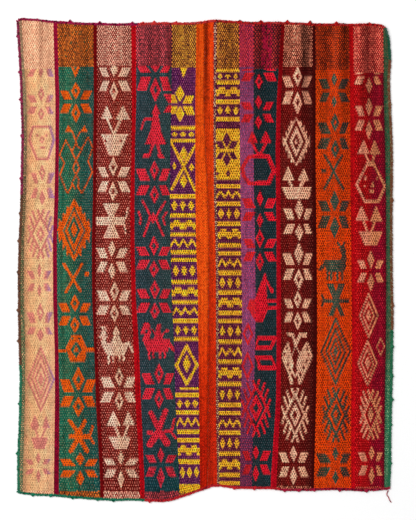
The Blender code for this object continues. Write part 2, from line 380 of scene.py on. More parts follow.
# Dyes of the bands: (place across from 0 to 1, ground, figures), then the two of the end check and
# the share of the lighter one, and where it has specks of a third their dye, share and side limits
LEFT_DYES = {
    "pale band": ([(0.0, (172, 128, 90), (190, 116, 92)), (0.05, (204, 148, 106), (200, 116, 98)),
                   (0.14, (224, 162, 114), (206, 118, 104)), (0.32, (235, 176, 124), (210, 122, 106)),
                   (0.5, (241, 186, 134), (212, 124, 110)), (0.75, (241, 185, 136), (210, 122, 112)),
                   (0.86, (236, 177, 133), (178, 122, 146)), (1.0, (233, 172, 128), (170, 118, 160))],
                  (202, 122, 90), (247, 185, 146), 0.70),
    "green band": ([(0.0, (38, 94, 72), (212, 82, 22)), (0.35, (50, 98, 72), (214, 86, 26)),
                    (0.6, (38, 84, 70), (210, 82, 24)), (1.0, (36, 72, 66), (198, 74, 24))],
                   (92, 48, 28), (218, 106, 34), 0.30, (66, 70, 42), 0.06, 0.0, 1.0),
    "cream band": ([(0.0, (122, 36, 32), (210, 162, 140)), (0.38, (126, 38, 32), (212, 162, 140)),
                    (0.5, (120, 36, 26), (202, 150, 122)), (1.0, (128, 38, 32), (212, 162, 138))],
                   (110, 8, 12), (236, 160, 134), 0.34),
    "slate band": ([(0.0, (42, 60, 66), (202, 42, 56)), (0.6, (44, 64, 67), (198, 42, 55)),
                    (1.0, (46, 66, 66), (192, 42, 52))],
                   (66, 34, 40), (206, 70, 76), 0.22),
    "yellow band": ([(0.0, (86, 28, 78), (224, 154, 42)), (0.5, (92, 30, 76), (228, 158, 44)),
                     (1.0, (88, 28, 74), (224, 154, 42))],
                    (70, 16, 34), (216, 144, 44), 0.27),
}

# Grounds that are darker near an end of the cloth: (place down, shares of the light in red,
# green and blue). The figures take half of it
DARKER_NEAR_ENDS = {
    "pale band": [(300, (1.0, 1.0, 1.0)), (370, (0.93, 0.93, 0.93)), (480, (0.91, 0.91, 0.91))],
    "cream band": [(420, (1.0, 1.0, 1.0)), (480, (0.86, 0.86, 0.86))],
    "slate band": [(300, (1.0, 1.0, 1.0)), (430, (0.9, 0.92, 0.95)), (480, (0.36, 0.92, 0.96))],
    "mauve band": [(60, (0.66, 0.66, 0.66)), (130, (0.92, 0.92, 0.92)), (180, (1.0, 1.0, 1.0)),
                   (340, (1.0, 1.0, 1.0)), (400, (0.62, 0.62, 0.62)), (470, (0.44, 0.44, 0.44))],
    "teal band": [(60, (0.74, 0.74, 0.74)), (150, (0.86, 0.86, 0.86)), (200, (1.0, 1.0, 1.0))],
    "orange band": [(60, (0.73, 0.76, 0.80)), (137, (0.83, 0.85, 0.90)), (205, (0.90, 0.92, 1.0)),
                    (225, (1.0, 1.0, 1.0))],
    "dark red band": [(66, (0.92, 0.62, 0.62)), (125, (0.94, 0.70, 0.70)), (145, (1.0, 1.0, 1.0))],
    "two-red band": [(70, (0.78, 0.72, 0.74)), (140, (0.83, 0.78, 0.82)), (205, (0.88, 0.84, 0.88)),
                     (225, (1.0, 1.0, 1.0))],
}

# Eight-petal stars: two lozenges and four slanting blocks round a middle (middle across, middle
# down, top, bottom, lozenge half width, which lozenge is open, reach left, reach right, height of
# the upper blocks, height of the lower blocks, gap from the middle to the lozenges)
LEFT_STARS = {
    "pale band": [
        (41.5, 104.5, 86.5, 121, 3.4, "both", 14.5, 12.5, 9.5, 9.5, 2.5),
        (42.3, 185.5, 164, 206, 3.2, "upper", 11.5, 12.5, 12.5, 12.5, 4),
        (39.5, 281, 263, 297, 2.2, "none", 12.5, 12, 10, 10, 3),
        (40.4, 325, 302, 342, 3.6, "upper", 14, 12.5, 13, 9.5, 2.8),
        (38.5, 466.5, 452, 483, 2.5, "none", 13.5, 12.5, 7.5, 7.5, 2.3),
    ],
    "green band": [
        (76, 101.5, 82, 123, 4.9, "both", 16, 16.2, 10.5, 11.5, 2),
        (75, 314, 294.5, 333, 5, "both", 16.5, 16, 11, 11.5, 2.3),
        (78.5, 394, 366.5, 417, 6, "both", 18.5, 17.5, 15, 12.5, 2.3),
        (80.3, 468, 452, 486, 4.2, "none", 20.5, 17.5, 9, 9, 2),
    ],
    "cream band": [
        (114, 79, 62, 101, 4.5, "lower", 15, 17, 11, 12.5, 2.2),
        (113.2, 179.5, 157, 201.5, 4.7, "both", 15.5, 17, 12, 12.5, 2.2),
        (112, 260, 240, 280, 3.9, "none", 15.5, 16, 12, 12.5, 2.3),
        (114.4, 303, 281, 322, 4.8, "both", 18, 16.8, 13, 11.5, 1.5),
        (119.2, 389.5, 366, 411, 4.4, "both", 19, 17, 13, 12.5, 2),
        (121, 467, 450.5, 488, 3.5, "none", 17.5, 17.5, 8.5, 10.5, 2),
    ],
    "slate band": [
        (155.5, 75, 58, 102.5, 5.6, "lower", 18.5, 16, 9, 16, 2.2),
        (154.5, 183, 160.5, 204.5, 4.7, "both", 18.5, 15.8, 14, 12, 2.5),
        (154, 258, 235.5, 278, 5.1, "both", 18, 16.5, 11, 11.5, 2),
        (154.8, 300.8, 279.5, 320, 4.9, "both", 18.3, 16.5, 11.5, 11.5, 1.6),
        (159, 386.3, 363, 409, 4.7, "both", 17.3, 15, 13, 13, 2.5),
        (160.8, 464.7, 447, 488, 3.8, "none", 15.3, 15.8, 10, 12, 1.8),
    ],
}

# Straight-sided blocks: (top, left, right, bottom, left, right)
LEFT_BLOCKS = {
    "pale band": [
        (69, 31, 36, 77, 27, 33), (69, 46, 51, 77, 48, 54), (437.5, 31, 48, 449, 35, 45),
        (415, 34.6, 35.4, 426, 30.5, 39.5), (426, 30.5, 39.5, 430, 33, 37),
        (416, 45.6, 46.4, 428, 42.5, 50), (134, 36.5, 38.5, 137, 36.5, 38.5),
        (134, 45.5, 47.5, 137, 45.5, 47.5), (146.5, 40, 45, 149, 40, 45),
    ],
    "green band": [
        (65, 70.5, 81, 78, 75.7, 75.7), (125.5, 68.2, 68.8, 132, 65, 72.8),
        (125.5, 84.2, 84.8, 132, 80.3, 87.5), (272, 85, 89, 276, 85, 89),
        (335, 72, 81, 348, 66, 87), (348, 66, 87, 362, 70.5, 85),
        (349.5, 58, 66, 352.5, 58, 66), (347.5, 87, 95, 352, 87, 95),
        (434, 69, 76, 438.5, 69, 76), (434, 83, 91, 439, 83, 91),
    ],
    "cream band": [
        (105.5, 106.7, 107.3, 119, 101, 113), (105.5, 122.7, 123.3, 119.5, 115.5, 129.8),
        (134, 100.5, 128.5, 156, 109.5, 119), (203, 102, 120, 215, 109, 114.5),
        (215, 108.5, 114.5, 227, 108.5, 114.5), (217, 96.5, 125, 225, 96.5, 125),
        (226, 108.5, 114.5, 238, 103.5, 119.5), (325.5, 116, 116.6, 334, 112.4, 120.4),
        (334, 114.3, 118.6, 343.5, 110.2, 123), (343, 101, 129, 349, 103.8, 127.5),
        (349, 103.8, 127.5, 356, 107.6, 124), (340, 101.5, 105.8, 345, 101, 108),
        (326.6, 100, 105.7, 329.6, 102, 106.4), (329.6, 102, 106.4, 333.5, 101, 105.8),
        (411, 113.2, 113.8, 426, 106, 121), (411, 127.7, 128.3, 425.5, 122.5, 135.5),
        (436.5, 108, 130.5, 449, 115, 127.5),
    ],
    "slate band": [
        (104, 155.7, 156.3, 114, 151.5, 160.5), (114, 153, 158.5, 118, 153, 158.5),
        (118, 152.5, 159, 131, 150.5, 161), (131, 150.5, 161, 144.5, 145, 166.5),
        (117.5, 145, 154, 120.5, 145, 154), (153.5, 144, 150, 158, 142.5, 149.5),
        (154, 157.5, 162.5, 158.5, 158.5, 165), (322.5, 144, 149.5, 334, 140, 151),
        (334, 145, 150, 341, 142, 150), (339, 142.5, 170, 352, 148, 168),
        (324, 157.5, 161.5, 331, 155.5, 160.5), (331, 156, 160.5, 340, 153.5, 163.5),
        (430.5, 147, 153, 435, 147, 153), (429.5, 164, 171, 433, 164, 171),
        (94, 163, 172, 103, 168.3, 172), (105.3, 167.6, 172, 112.8, 163.5, 172),
    ],
    "yellow band": [
        (67, 179.5, 187.5, 78, 183.3, 183.7), (387, 180, 199, 389.5, 180, 199),
        (94.5, 170, 174.3, 103, 171.5, 178.2), (106, 171.5, 178.5, 114, 170, 174.8),
        (95.5, 186.2, 194, 103.8, 182.2, 191.6), (106, 182.2, 192.6, 115.2, 186.4, 194.4),
    ],
}

# Strokes: (width, points)
LEFT_STROKES = {
    "pale band": [
        (2.6, [(33, 127), (50, 127), (54, 140), (48, 159), (37, 159), (29.5, 140), (33, 127)]),
        (1.8, [(35, 428), (38, 437)]), (1.8, [(46, 428), (42, 437)]),
    ],
    "green band": [
        (1.35, [(72, 131), (76, 141), (77, 146), (82, 150), (76.5, 159), (73, 168), (76, 174.5),
               (79, 180), (78, 187), (82, 193.5)]),
        (1.35, [(80, 132), (76.5, 139), (75.5, 145), (72, 152), (76, 160), (79.5, 168), (76, 175),
               (72, 183), (75.5, 189)]),
        (1.35, [(72, 152), (66, 140), (59.5, 155), (64.5, 163), (60, 175), (67.5, 193.5),
               (72, 185)]),
        (1.35, [(82, 149), (88, 137), (93, 148), (88, 161), (92.5, 172), (82, 193.5), (78, 186)]),
        (2.8, [(64, 264), (80.5, 291)]), (2.8, [(82, 264), (66, 292)]),
        (4.0, [(70, 421), (78, 432)]), (4.0, [(85, 421), (79, 432)]),
        (7.5, [(78.5, 432), (79, 439)]), (2.5, [(93, 426), (89.5, 436), (93.5, 443)]),
        (4.5, [(77, 440), (71, 451)]), (4.5, [(81, 440), (87, 451)]),
    ],
    "cream band": [
        (2.6, [(107, 118), (113.5, 134)]), (2.6, [(121, 119), (114.5, 134)]),
        (1.8, [(128, 208), (127, 214), (125.5, 218)]), (1.8, [(124.5, 224), (125.5, 233)]),
        (3.4, [(103.8, 334), (103.8, 343)]), (2.2, [(102.8, 331.5), (99.8, 337.6)]),
        (2.4, [(108.6, 355), (108.8, 363)]), (1.8, [(113.2, 355), (113.3, 361.6)]),
        (2.0, [(119.4, 355), (119.7, 361)]), (2.2, [(123.4, 352), (123.8, 360.4)]),
        (3.0, [(124.5, 344.5), (129, 343), (132.8, 351.4)]),
        (2.6, [(114.5, 425), (119.5, 437)]), (2.6, [(128, 425), (124.5, 437)]),
    ],
    "slate band": [
        (2.0, [(145, 119), (143, 123), (141.5, 129)]), (3.0, [(153, 144), (149.5, 155)]),
        (3.0, [(157.5, 144), (160.5, 155)]),
        (2.4, [(142.5, 201), (149.5, 214), (150, 218), (148, 224), (144, 236)]),
        (2.4, [(165, 202), (157, 215), (156.5, 219), (159, 226), (163.5, 235.5)]),
        (2.2, [(138.5, 211.5), (141, 218), (140, 224)]),
        (2.2, [(166.5, 212), (163, 218), (165, 224.5)]),
        (1.6, [(152, 329.5), (156, 335)]), (1.6, [(165, 332), (161, 337)]),
        (3.5, [(167, 330.5), (167.2, 330.6)]), (2.0, [(149, 352), (149.5, 359)]),
        (2.0, [(153, 352), (153.8, 357.5)]), (2.0, [(160, 350), (160.3, 358)]),
        (2.0, [(164.5, 349), (165, 357.5)]), (3.5, [(167, 341), (174, 350)]),
        (5.0, [(151, 413), (160, 432)]), (5.5, [(165.5, 411), (158, 432)]),
        (7.0, [(157, 434), (150, 444)]), (7.0, [(161, 434), (167, 443)]),
        (2.5, [(174.5, 419), (172, 429), (171, 432)]), (2.5, [(172, 433), (176, 438)]),
    ],
    "yellow band": [
        (3.0, [(172, 144), (183.5, 166), (195, 190)]), (3.0, [(195, 146), (184, 166), (172, 189)]),
    ],
}

# Lozenges: (middle across, middle down, half width, half height, size of the hole as a share)
LEFT_LOZENGES = {
    "pale band": [(41, 72, 2.5, 6, 0), (42, 140, 2.6, 4.5, 0.35), (41, 379, 6.5, 18, 0.68),
                  (41, 379, 10.2, 26, 0.78), (41, 379, 14, 34, 0.84), (41, 379, 3, 8, 0)],
    "green band": [(74.3, 229.8, 17.2, 31.4, 0)],
    "cream band": [(105.5, 335.8, 3.0, 4.4, 0.42)],
    "slate band": [(153, 218, 3.5, 6, 0)],
    "yellow band": [(179.8, 93.7, 4.8, 8.4, 0), (180, 113.8, 4.6, 8.2, 0),
                    (183.8, 154, 4, 7.5, 0), (183.5, 181, 4, 7.5, 0), (174.5, 166, 2.2, 4, 0),
                    (191.5, 167.5, 2.7, 4.5, 0), (186.7, 365, 12, 22, 0.72),
                    (186.8, 363.5, 4.2, 9.5, 0)],
}

# What is cut back out of the figures to the ground: lozenges as above
LEFT_CUT_LOZENGES = {
    "green band": [(74.2, 230.8, 11.4, 25.0, 0.85), (74, 229.8, 6.4, 14.8, 0.56),
                   (75.5, 67, 2, 4, 0), (76.2, 349.5, 5.6, 8.6, 0), (72.3, 338.5, 1.3, 1.8, 0),
                   (79.3, 339, 1.2, 1.6, 0)],
    "cream band": [(105.5, 141, 1.3, 2.2, 0), (120.8, 141, 1.3, 2.2, 0),
                   (104.6, 329.4, 0.8, 1.3, 0)],
    "slate band": [(146.3, 331, 1.5, 3, 0), (151, 337, 1.2, 2, 0)],
}
# What is filled again inside a cut: blocks as above
LEFT_REFILLS = {"green band": [(345.8, 76, 76.6, 351.6, 73.6, 79.2)]}

# Toothed diamonds, as a sun: (middle across, middle down, half width, half height, width of the
# outline, inner lozenge half width, half height), or filled and cut like a saw: (middle across,
# middle down, half width, half height, teeth, depth, widest, tallest)
LEFT_SUNS = {"pale band": [(40.8, 234, 10.5, 19.8, 2.6, 4.4, 8.6)],
             "green band": [(74.2, 231, 19.0, 33.0, 2.4, 0.34, 16.2, 25.5)]}

# Rows of plain geometry in the yellow band: (kind, top, bottom)
LEFT_ROWS = {
    "yellow band": [
        ("bar", 126, 130), ("diamonds", 131.5, 137.5), ("bar", 139, 142.5),
        ("bar", 194, 198.5), ("diamonds", 200, 211), ("bar", 213, 217.5), ("steps", 220, 230),
        ("bar", 232.5, 236.5), ("zigzag", 238.5, 248), ("bar", 250, 254.5), ("bar", 258, 262),
        ("diamonds", 264.5, 277), ("bar", 279.5, 284), ("steps", 287, 297), ("bar", 300, 304),
        ("zigzag", 306.5, 316), ("bar", 318.5, 323), ("diamonds", 325, 335), ("bar", 337, 341),
        ("bar", 392.5, 397), ("diamonds", 399, 408), ("bar", 410, 414.5), ("zigzag", 417, 427),
        ("bar", 429.5, 434), ("bar", 438, 442.5), ("steps", 445, 456), ("bar", 459, 464),
        ("diamonds", 466.5, 478), ("bar", 484, 493),
    ],
}


def along(table, place, column=1):
    """Reads a line of a table at a place between its rows."""
    rows = sorted(table)
    if place <= rows[0][0]:
        return rows[0][column]
    for low, high in zip(rows, rows[1:]):
        if place <= high[0]:
            part = (place - low[0]) / (high[0] - low[0])
            return low[column] + part * (high[column] - low[column])
    return rows[-1][column]


# Top of the ridges, how fast they sink away from it, and the least height that counts
RIDGE_TOP = 0.508
RIDGE_FADE = 2.5
LEAST_LIFT = 0.00012


def lift(x, y):
    """Height of the underside over the floor at each place, in metres."""
    height = np.zeros_like(x)
    down = np.maximum(0.0, RIDGE_TOP - y)
    for centre, half, rise, reach in RIDGES:
        fade = np.exp(-((down / (reach * MM)) ** 2) * RIDGE_FADE)
        height += rise * MM * np.exp(-(((x - centre * MM) / (half * MM)) ** 2)) * fade
    return np.where(height < LEAST_LIFT, 0.0, height)


# Figures: which cells of the chart lie inside each shape, a being across and d down
def block(a, d, top, left, right, bottom, low_left, low_right):
    """A block with straight sides between two level ends."""
    part = (d - top) / (bottom - top)
    return ((d >= top) & (d <= bottom) & (a >= left + part * (low_left - left))
            & (a <= right + part * (low_right - right)))


def lozenge(a, d, x, y, half_width, half_height, hole=0.0):
    """A lozenge on its point, open in the middle where it has a hole."""
    far = np.abs(a - x) / half_width + np.abs(d - y) / half_height
    return (far <= 1.0) & (far >= hole)


def stroke(a, d, width, points):
    """A line of even width along a row of points."""
    shape = np.zeros(a.shape, bool)
    for (x0, y0), (x1, y1) in zip(points, points[1:]):
        length = (x1 - x0) ** 2 + (y1 - y0) ** 2
        part = np.clip(((a - x0) * (x1 - x0) + (d - y0) * (y1 - y0)) / length, 0.0, 1.0)
        off = np.hypot(a - x0 - part * (x1 - x0), d - y0 - part * (y1 - y0))
        shape |= off <= width / 2
    return shape


# Stars: hole of an open lozenge, and where the slanting blocks start from the middle, down and
# across, and how far their outer side leans
STAR_HOLE = 0.36
PETAL_DOWN, PETAL_ACROSS, PETAL_LEAN = 2.0, 4.2, 4.0


def star(a, d, x, y, top, bottom, half, hollow, left, right, rise, fall, gap):
    """An eight-petal star: a lozenge above and below, and a slanting block at each corner."""
    shape = np.zeros(a.shape, bool)
    for tip, sign, name in ((top, -1, "upper"), (bottom, 1, "lower")):
        tall = (abs(tip - y) - gap) / 2
        hole = STAR_HOLE if hollow in ("both", name) else 0.0
        shape |= lozenge(a, d, x, y + sign * (gap + tall), half, tall, hole)
    for side, reach in ((-1, left), (1, right)):
        for sign, height in ((-1, rise), (1, fall)):
            near, far = y + sign * PETAL_DOWN, y + sign * height
            off = side * (a - x)
            part = (d - near) / (far - near)
            inner = PETAL_ACROSS + part * (0.5 * reach - PETAL_ACROSS)
            outer = reach - PETAL_LEAN + part * PETAL_LEAN
            shape |= (part >= 0) & (part <= 1) & (off >= inner) & (off <= outer)
    return shape


# Teeth of a sun: (place along a side from its upper or lower point, how far it stands out)
SUN_TEETH = ((0.10, 6.0), (0.42, 11.0), (0.68, 10.5), (0.95, 7.0))
SUN_TOOTH_WIDTH = 2.2
SUN_TOOTH_LEAN = 0.32
SUN_CORE_HOLE = 0.42


def sun(a, d, x, y, half_width, half_height, width, core_width, core_height):
    """A diamond with slanting teeth standing out from its outline, and an open lozenge inside."""
    shape = lozenge(a, d, x, y, half_width, half_height, 1.0 - width / half_width)
    shape |= lozenge(a, d, x, y, core_width, core_height, SUN_CORE_HOLE)
    for side in (-1, 1):
        for sign in (-1, 1):
            for part, reach in SUN_TEETH:
                start = (x + side * half_width * part, y + sign * half_height * (1.0 - part))
                tip = (start[0] + side * reach * SUN_TOOTH_LEAN, start[1] + sign * reach)
                shape |= stroke(a, d, SUN_TOOTH_WIDTH, [start, tip])
    return shape


def saw_diamond(a, d, x, y, half_width, half_height, teeth, tooth, widest, tallest):
    """A filled diamond whose four sides are cut like a saw, its points cut off square."""
    off, far = np.abs(a - x) / half_width, np.abs(d - y) / half_height
    saw = ((far - off) * teeth) % 1.0
    inside = (np.abs(a - x) <= widest) & (np.abs(d - y) <= tallest)
    return inside & (off + far <= 1.0 + tooth * (saw - 0.5))


# Rows: how often diamonds and zigzags repeat across, and stairs, and the steps of a stair. Then
# their sizes as shares of a repeat across, of the row's height, and of one step
ROW_REPEATS, STAIR_REPEATS, STAIR_STEPS = 3.0, 2.0, 4.0
DIAMOND_HALF_WIDTH = 0.40
ZIGZAG_RISE, ZIGZAG_HALF_LINE = 1.2, 0.2
STAIR_LINE = 2.2


def row_of(a, d, kind, top, bottom, left, right):
    """One row of plain geometry between two lines: a bar, diamonds, steps or a zigzag."""
    inside = (d >= top) & (d <= bottom)
    part = (a - left) / (right - left)
    up = (d - top) / (bottom - top)
    cell = np.abs((part * ROW_REPEATS) % 1.0 - 0.5)
    if kind == "bar":
        return inside
    if kind == "diamonds":
        return inside & (cell / DIAMOND_HALF_WIDTH + np.abs(up - 0.5) / 0.5 <= 1.0)
    if kind == "zigzag":
        return inside & (np.abs(up - ZIGZAG_HALF_LINE - cell * ZIGZAG_RISE) <= ZIGZAG_HALF_LINE)
    # stepped blocks, as a staircase each way
    stair = np.abs(np.floor((part * STAIR_REPEATS % 1.0) * STAIR_STEPS) - 1.5)
    height = up * STAIR_STEPS
    return inside & (height >= stair - 0.5) & (height <= stair + STAIR_LINE)


def dye_at(stops, place, column=1):
    """Colour between the stops of a table, for an array of places."""
    marks = [s[0] for s in stops]
    return np.stack(
        [np.interp(place, marks, [s[column][c] for s in stops]) for c in range(3)], axis=-1
    )


def speckle(shape, seed):
    """Even noise from 0 to 1 for each cell of a chart, the same on every run."""
    return np.random.default_rng(seed).random(shape)


# Standard deviations of soft noise that reach from the middle to either end
SOFT_SPREAD = 2.2


def soft(shape, seed, along_warp, across_warp):
    """Noise from -1 to 1 that runs on for a few cells along and across the warp."""
    noise = speckle(shape, seed) - 0.5
    for axis, times in ((0, along_warp), (1, across_warp)):
        for _ in range(times):
            noise = (np.roll(noise, 1, axis) + noise + np.roll(noise, -1, axis)) / 3.0
    return np.clip(noise / (SOFT_SPREAD * noise.std()), -1.0, 1.0)


def figures_of(name, a, d, left, right, charts):
    """Cells of one band that show the figure yarn."""
    stars, blocks, strokes, lozenges, suns, rows, cut_lozenges, refills = charts
    shape = np.zeros(a.shape, bool)
    for row in stars.get(name, []):
        shape |= star(a, d, *row)
    for row in blocks.get(name, []):
        shape |= block(a, d, *row)
    for row in strokes.get(name, []):
        shape |= stroke(a, d, *row)
    for row in lozenges.get(name, []):
        shape |= lozenge(a, d, *row)
    for row in suns.get(name, []):
        shape |= (sun if len(row) == 7 else saw_diamond)(a, d, *row)
    for row in rows.get(name, []):
        shape |= row_of(a, d, *row, left, right)
    for row in blocks.get(name + " cut", []):
        shape &= ~block(a, d, *row)
    for row in cut_lozenges.get(name, []):
        shape &= ~lozenge(a, d, *row)
    for row in refills.get(name, []):
        shape |= block(a, d, *row)
    return shape


# How uneven the colour of the wool is, as shares of it: cell by cell, in blotches, along each yarn,
# along each pick, from yarn to yarn, and along the yarns of a stripe that is shaded across
GRAIN, BLOTCHES, YARN_STREAKS, PICK_STREAKS = 0.40, 0.10, 0.16, 0.06
YARN_CHANGES = 0.34
STRIPE_STREAKS = 0.20
# The pale band is of evener wool
PALE_GRAIN, PALE_YARN_CHANGES = 0.20, 0.12

# The weave in picks: how far a float wanders, and the picks to one turn of the plain weave, of the
# dotted second dye, of the bands' floats and of the end check
WANDER = 0.40
PLAIN_PICKS, DOT_PICKS, FLOAT_PICKS, CHECK_PICKS = 3.0, 4.0, 5.0, 4.0
# Painted light on the floats of the plain weave and painted shade in their dips
PLAIN_DIP_SHADE = 0.34
DOT_FROM = 0.6

# Small changes of dye in the ground, and how they tint red, green and blue
HEATHER, GREEN_HEATHER = 0.10, 0.42
HEATHER_TINT = (-1.0, 0.30, 0.45)

# Places in a cell where a figure is looked up, and how sharp its edge is
COVER_PLACES = ((-0.25, -0.25), (0.25, -0.25), (-0.25, 0.25), (0.25, 0.25))
COVER_GAIN = 1.5

# Flecks of the other yarn: shape along the float, its average, strength (least, range of chance),
# and how much painted shade darkens a dark one, which lies deeper, and painted light brightens a
# light one
FLECK_POWER, FLECK_AVERAGE = 1.5, 0.27
FLECK_CHANCE = (0.6, 0.8)
FLECK_DEPTH_SHADE = 1.15
BAND_FLECK_DEPTH_SHADE = {"pale band": 0.52, "slate band": 1.45, "teal band": 1.45, "mauve band": 1.45,
                    "yellow band": 1.40, "gold band": 1.40}

# The end check: how far its two dyes take turns, in most bands and in the two mildest, how much
# they run along the yarns, how grainy it is, and how strong the painted light and shade of its floats
# is
CHECK_SWING, MILD_CHECK_SWING = 0.80, 0.55
CHECK_RUNS, CHECK_GRAIN = 0.34, 0.25
CHECK_DIP_SHADE, PALE_CHECK_DIP_SHADE = 0.32, 0.2
# Least light of a cell
DARKEST = 0.001


def weave_turn(cells, picks):
    """Swing from -1 to 1 along each yarn, every other yarn half a turn behind."""
    row, column = cells
    return np.cos(2.0 * math.pi * row / picks + math.pi * column)


def unevenness_and_painted_light(a, d, name, seed):
    """Share of its light that each cell keeps, from spinning and dyeing, with painted light and shade
    of the ridges near the top.
    """
    pale = name == "pale band"
    grain = PALE_GRAIN if pale else GRAIN
    uneven_and_painted_light = (1.0 + grain * (speckle(a.shape, seed) - 0.5) * 2.0
              + BLOTCHES * soft(a.shape, seed + 1, 2, 2)
              + YARN_STREAKS * soft(a.shape, seed + 2, 14, 0)
              + PICK_STREAKS * soft(a.shape, seed + 3, 0, 5))
    changes = PALE_YARN_CHANGES if pale else YARN_CHANGES
    uneven_and_painted_light = uneven_and_painted_light * (1.0 + changes * (speckle((1, a.shape[1]), seed + 8) - 0.5))
    # painted light on the backs of the ridges and painted shade in their creases, fading down the
    # cloth
    fade = np.clip((PAINTED_CREASE_FADE[1] - d) / (PAINTED_CREASE_FADE[1] - PAINTED_CREASE_FADE[0]), 0.0, 1.0)
    for middle, half, strength in PAINTED_CREASE_LIGHT_AND_SHADE:
        uneven_and_painted_light = uneven_and_painted_light * np.exp(strength * fade * np.exp(-(((a - middle) / half) ** 2)))
    return uneven_and_painted_light


def paint_stripe(d, part, name, plain, cells, uneven_and_painted_light, seed):
    """Linear colours of a plain stripe: painted shade in a dip and painted light on a float every
    third pick, one end up and the next down.
    """
    # painted shade in the weave's dips, painted light on its floats
    dip_shade = 1.0 - PLAIN_DIP_SHADE * weave_turn(cells, PLAIN_PICKS)
    colour = to_light(dye_at(plain[name], d))
    if name + " second" in plain:
        turn = weave_turn(cells, DOT_PICKS) + speckle(d.shape, seed + 4) - 0.5
        second = to_light(dye_at(plain[name + " second"], d))
        colour = np.where((turn > DOT_FROM)[..., None], second, colour)
    # across some stripes their light changes: beside the seam this is painted shade and light
    if name + " across" in plain:
        marks, shades = zip(*plain[name + " across"])
        streaks = 1.0 + STRIPE_STREAKS * soft(d.shape, seed + 6, 16, 0)
        uneven_and_painted_light = uneven_and_painted_light * np.interp(part, marks, shades) * streaks
    return colour * (uneven_and_painted_light * dip_shade)[..., None]


def end_check(name, part, dyes, cells, seed):
    """Colours of the check at the ends of a band: picks of both dyes, taking turns, and the painted
    light and shade of its floats.
    """
    dark, light, light_share, *specks = dyes
    turn = weave_turn(cells, CHECK_PICKS)
    runs = soft(part.shape, seed + 5, 10, 0)
    swing = MILD_CHECK_SWING if name in ("pale band", "green band") else CHECK_SWING
    mixed = (light_share + swing * turn * (0.5 + light_share) + CHECK_RUNS * runs
             + CHECK_GRAIN * (speckle(part.shape, seed + 6) - 0.5))
    mixed = np.clip(mixed, 0.0, 1.0)[..., None]
    check = to_light(dark) * (1 - mixed) + to_light(light) * mixed
    if specks:
        speck_dye, speck_share, speck_left, speck_right = specks
        few = speckle(part.shape, seed + 9) < speck_share * (1.0 + runs)
        few &= (part > speck_left) & (part < speck_right)
        check = np.where(few[..., None], to_light(speck_dye), check)
    # painted light and shade of the check's floats
    return check, 1.0 + (PALE_CHECK_DIP_SHADE if name == "pale band" else CHECK_DIP_SHADE) * turn


def paint_band(a, d, part, left, right, stripe, dyes, charts, cells, uneven_and_painted_light, seed):
    """Linear colours of a band: figures on a ground, each flecked by the other, and end checks."""
    name, _, first, last, ground_fleck, figure_fleck = stripe
    stops, *check_dyes = dyes[name]
    ground = to_light(dye_at(stops, part, 1))
    figure = to_light(dye_at(stops, part, 2))
    if name in DARKER_NEAR_ENDS:
        share = dye_at(DARKER_NEAR_ENDS[name], d)
        ground, figure = ground * share, figure * (0.5 + 0.5 * share)
    # the ground is spun from wools of slightly different dye
    heather = GREEN_HEATHER if name == "green band" else HEATHER
    heather = heather * soft(a.shape, seed + 10, 9, 1)
    ground = ground * (1.0 + heather[..., None] * np.array(HEATHER_TINT))
    # share of each cell where the figure yarn shows
    cover = sum(
        figures_of(name, a + aside, d + below, left, right, charts).astype(float)
        for aside, below in COVER_PLACES
    ) / len(COVER_PLACES)
    cover = np.clip((cover - 0.5) * COVER_GAIN + 0.5, 0.0, 1.0)
    mean = ground + (figure - ground) * cover[..., None]
    other = figure + ground - mean
    # floats of five picks, a fleck of the other yarn between them, staggered end by end
    fleck = np.maximum(weave_turn(cells, FLOAT_PICKS), 0.0) ** FLECK_POWER - FLECK_AVERAGE
    swing = (ground_fleck + (figure_fleck - ground_fleck) * cover) * fleck
    swing = swing * (FLECK_CHANCE[0] + FLECK_CHANCE[1] * speckle(a.shape, seed + 4))
    colour = np.clip(mean + (other - mean) * swing[..., None], DARKEST, 1.0)
    for those in (cover > 0.5, cover <= 0.5):
        if those.any():
            colour[those] *= mean[those].mean(axis=0) / colour[those].mean(axis=0)
    # a dark fleck lies deeper than the floats beside it and gets painted shade, a light one shows
    # more than they do and gets painted light
    lighter = (other - mean).sum(axis=-1) / np.abs(figure - ground).sum(axis=-1)
    depth_shade = BAND_FLECK_DEPTH_SHADE.get(name, FLECK_DEPTH_SHADE)
    dip_shade = 1.0 + depth_shade * np.clip(lighter, -1.0, 1.0) * fleck
    check, check_dip_shade = end_check(name, part, check_dyes, cells, seed)
    at_end = (d < first) | (d > last)
    colour = np.where(at_end[..., None], check, colour)
    dip_shade = np.where(at_end, check_dip_shade, dip_shade)
    return np.clip(colour, DARKEST, 1.0) * (uneven_and_painted_light * dip_shade)[..., None]


def paint(a, d, part, left, right, stripe, plain, dyes, charts, seed):
    """Linear colours of the cells of one stripe."""
    name, _, first, *_ = stripe
    cells = (np.arange(a.shape[0])[:, None] + WANDER * soft(a.shape, seed + 7, 6, 0),
             np.arange(a.shape[1])[None, :])
    uneven_and_painted_light = unevenness_and_painted_light(a, d, name, seed)
    if first is None:
        return paint_stripe(d, part, name, plain, cells, uneven_and_painted_light, seed)
    return paint_band(a, d, part, left, right, stripe, dyes, charts, cells, uneven_and_painted_light, seed)


# The weave seen close: fibres to a metre, how deep a float dips at its ends (gain, base), relief
# of the plies, and how the relief shades it and the fibres roughen it (gain, base)
WEAVE_FIBRE_SCALE = 1900.0
FLOAT_DIP = (0.62, 0.38)
PLY_RELIEF = 0.08
CLOTH_SHADE = (0.42, 0.58)
CLOTH_ROUGHNESS = (0.25, 0.7)


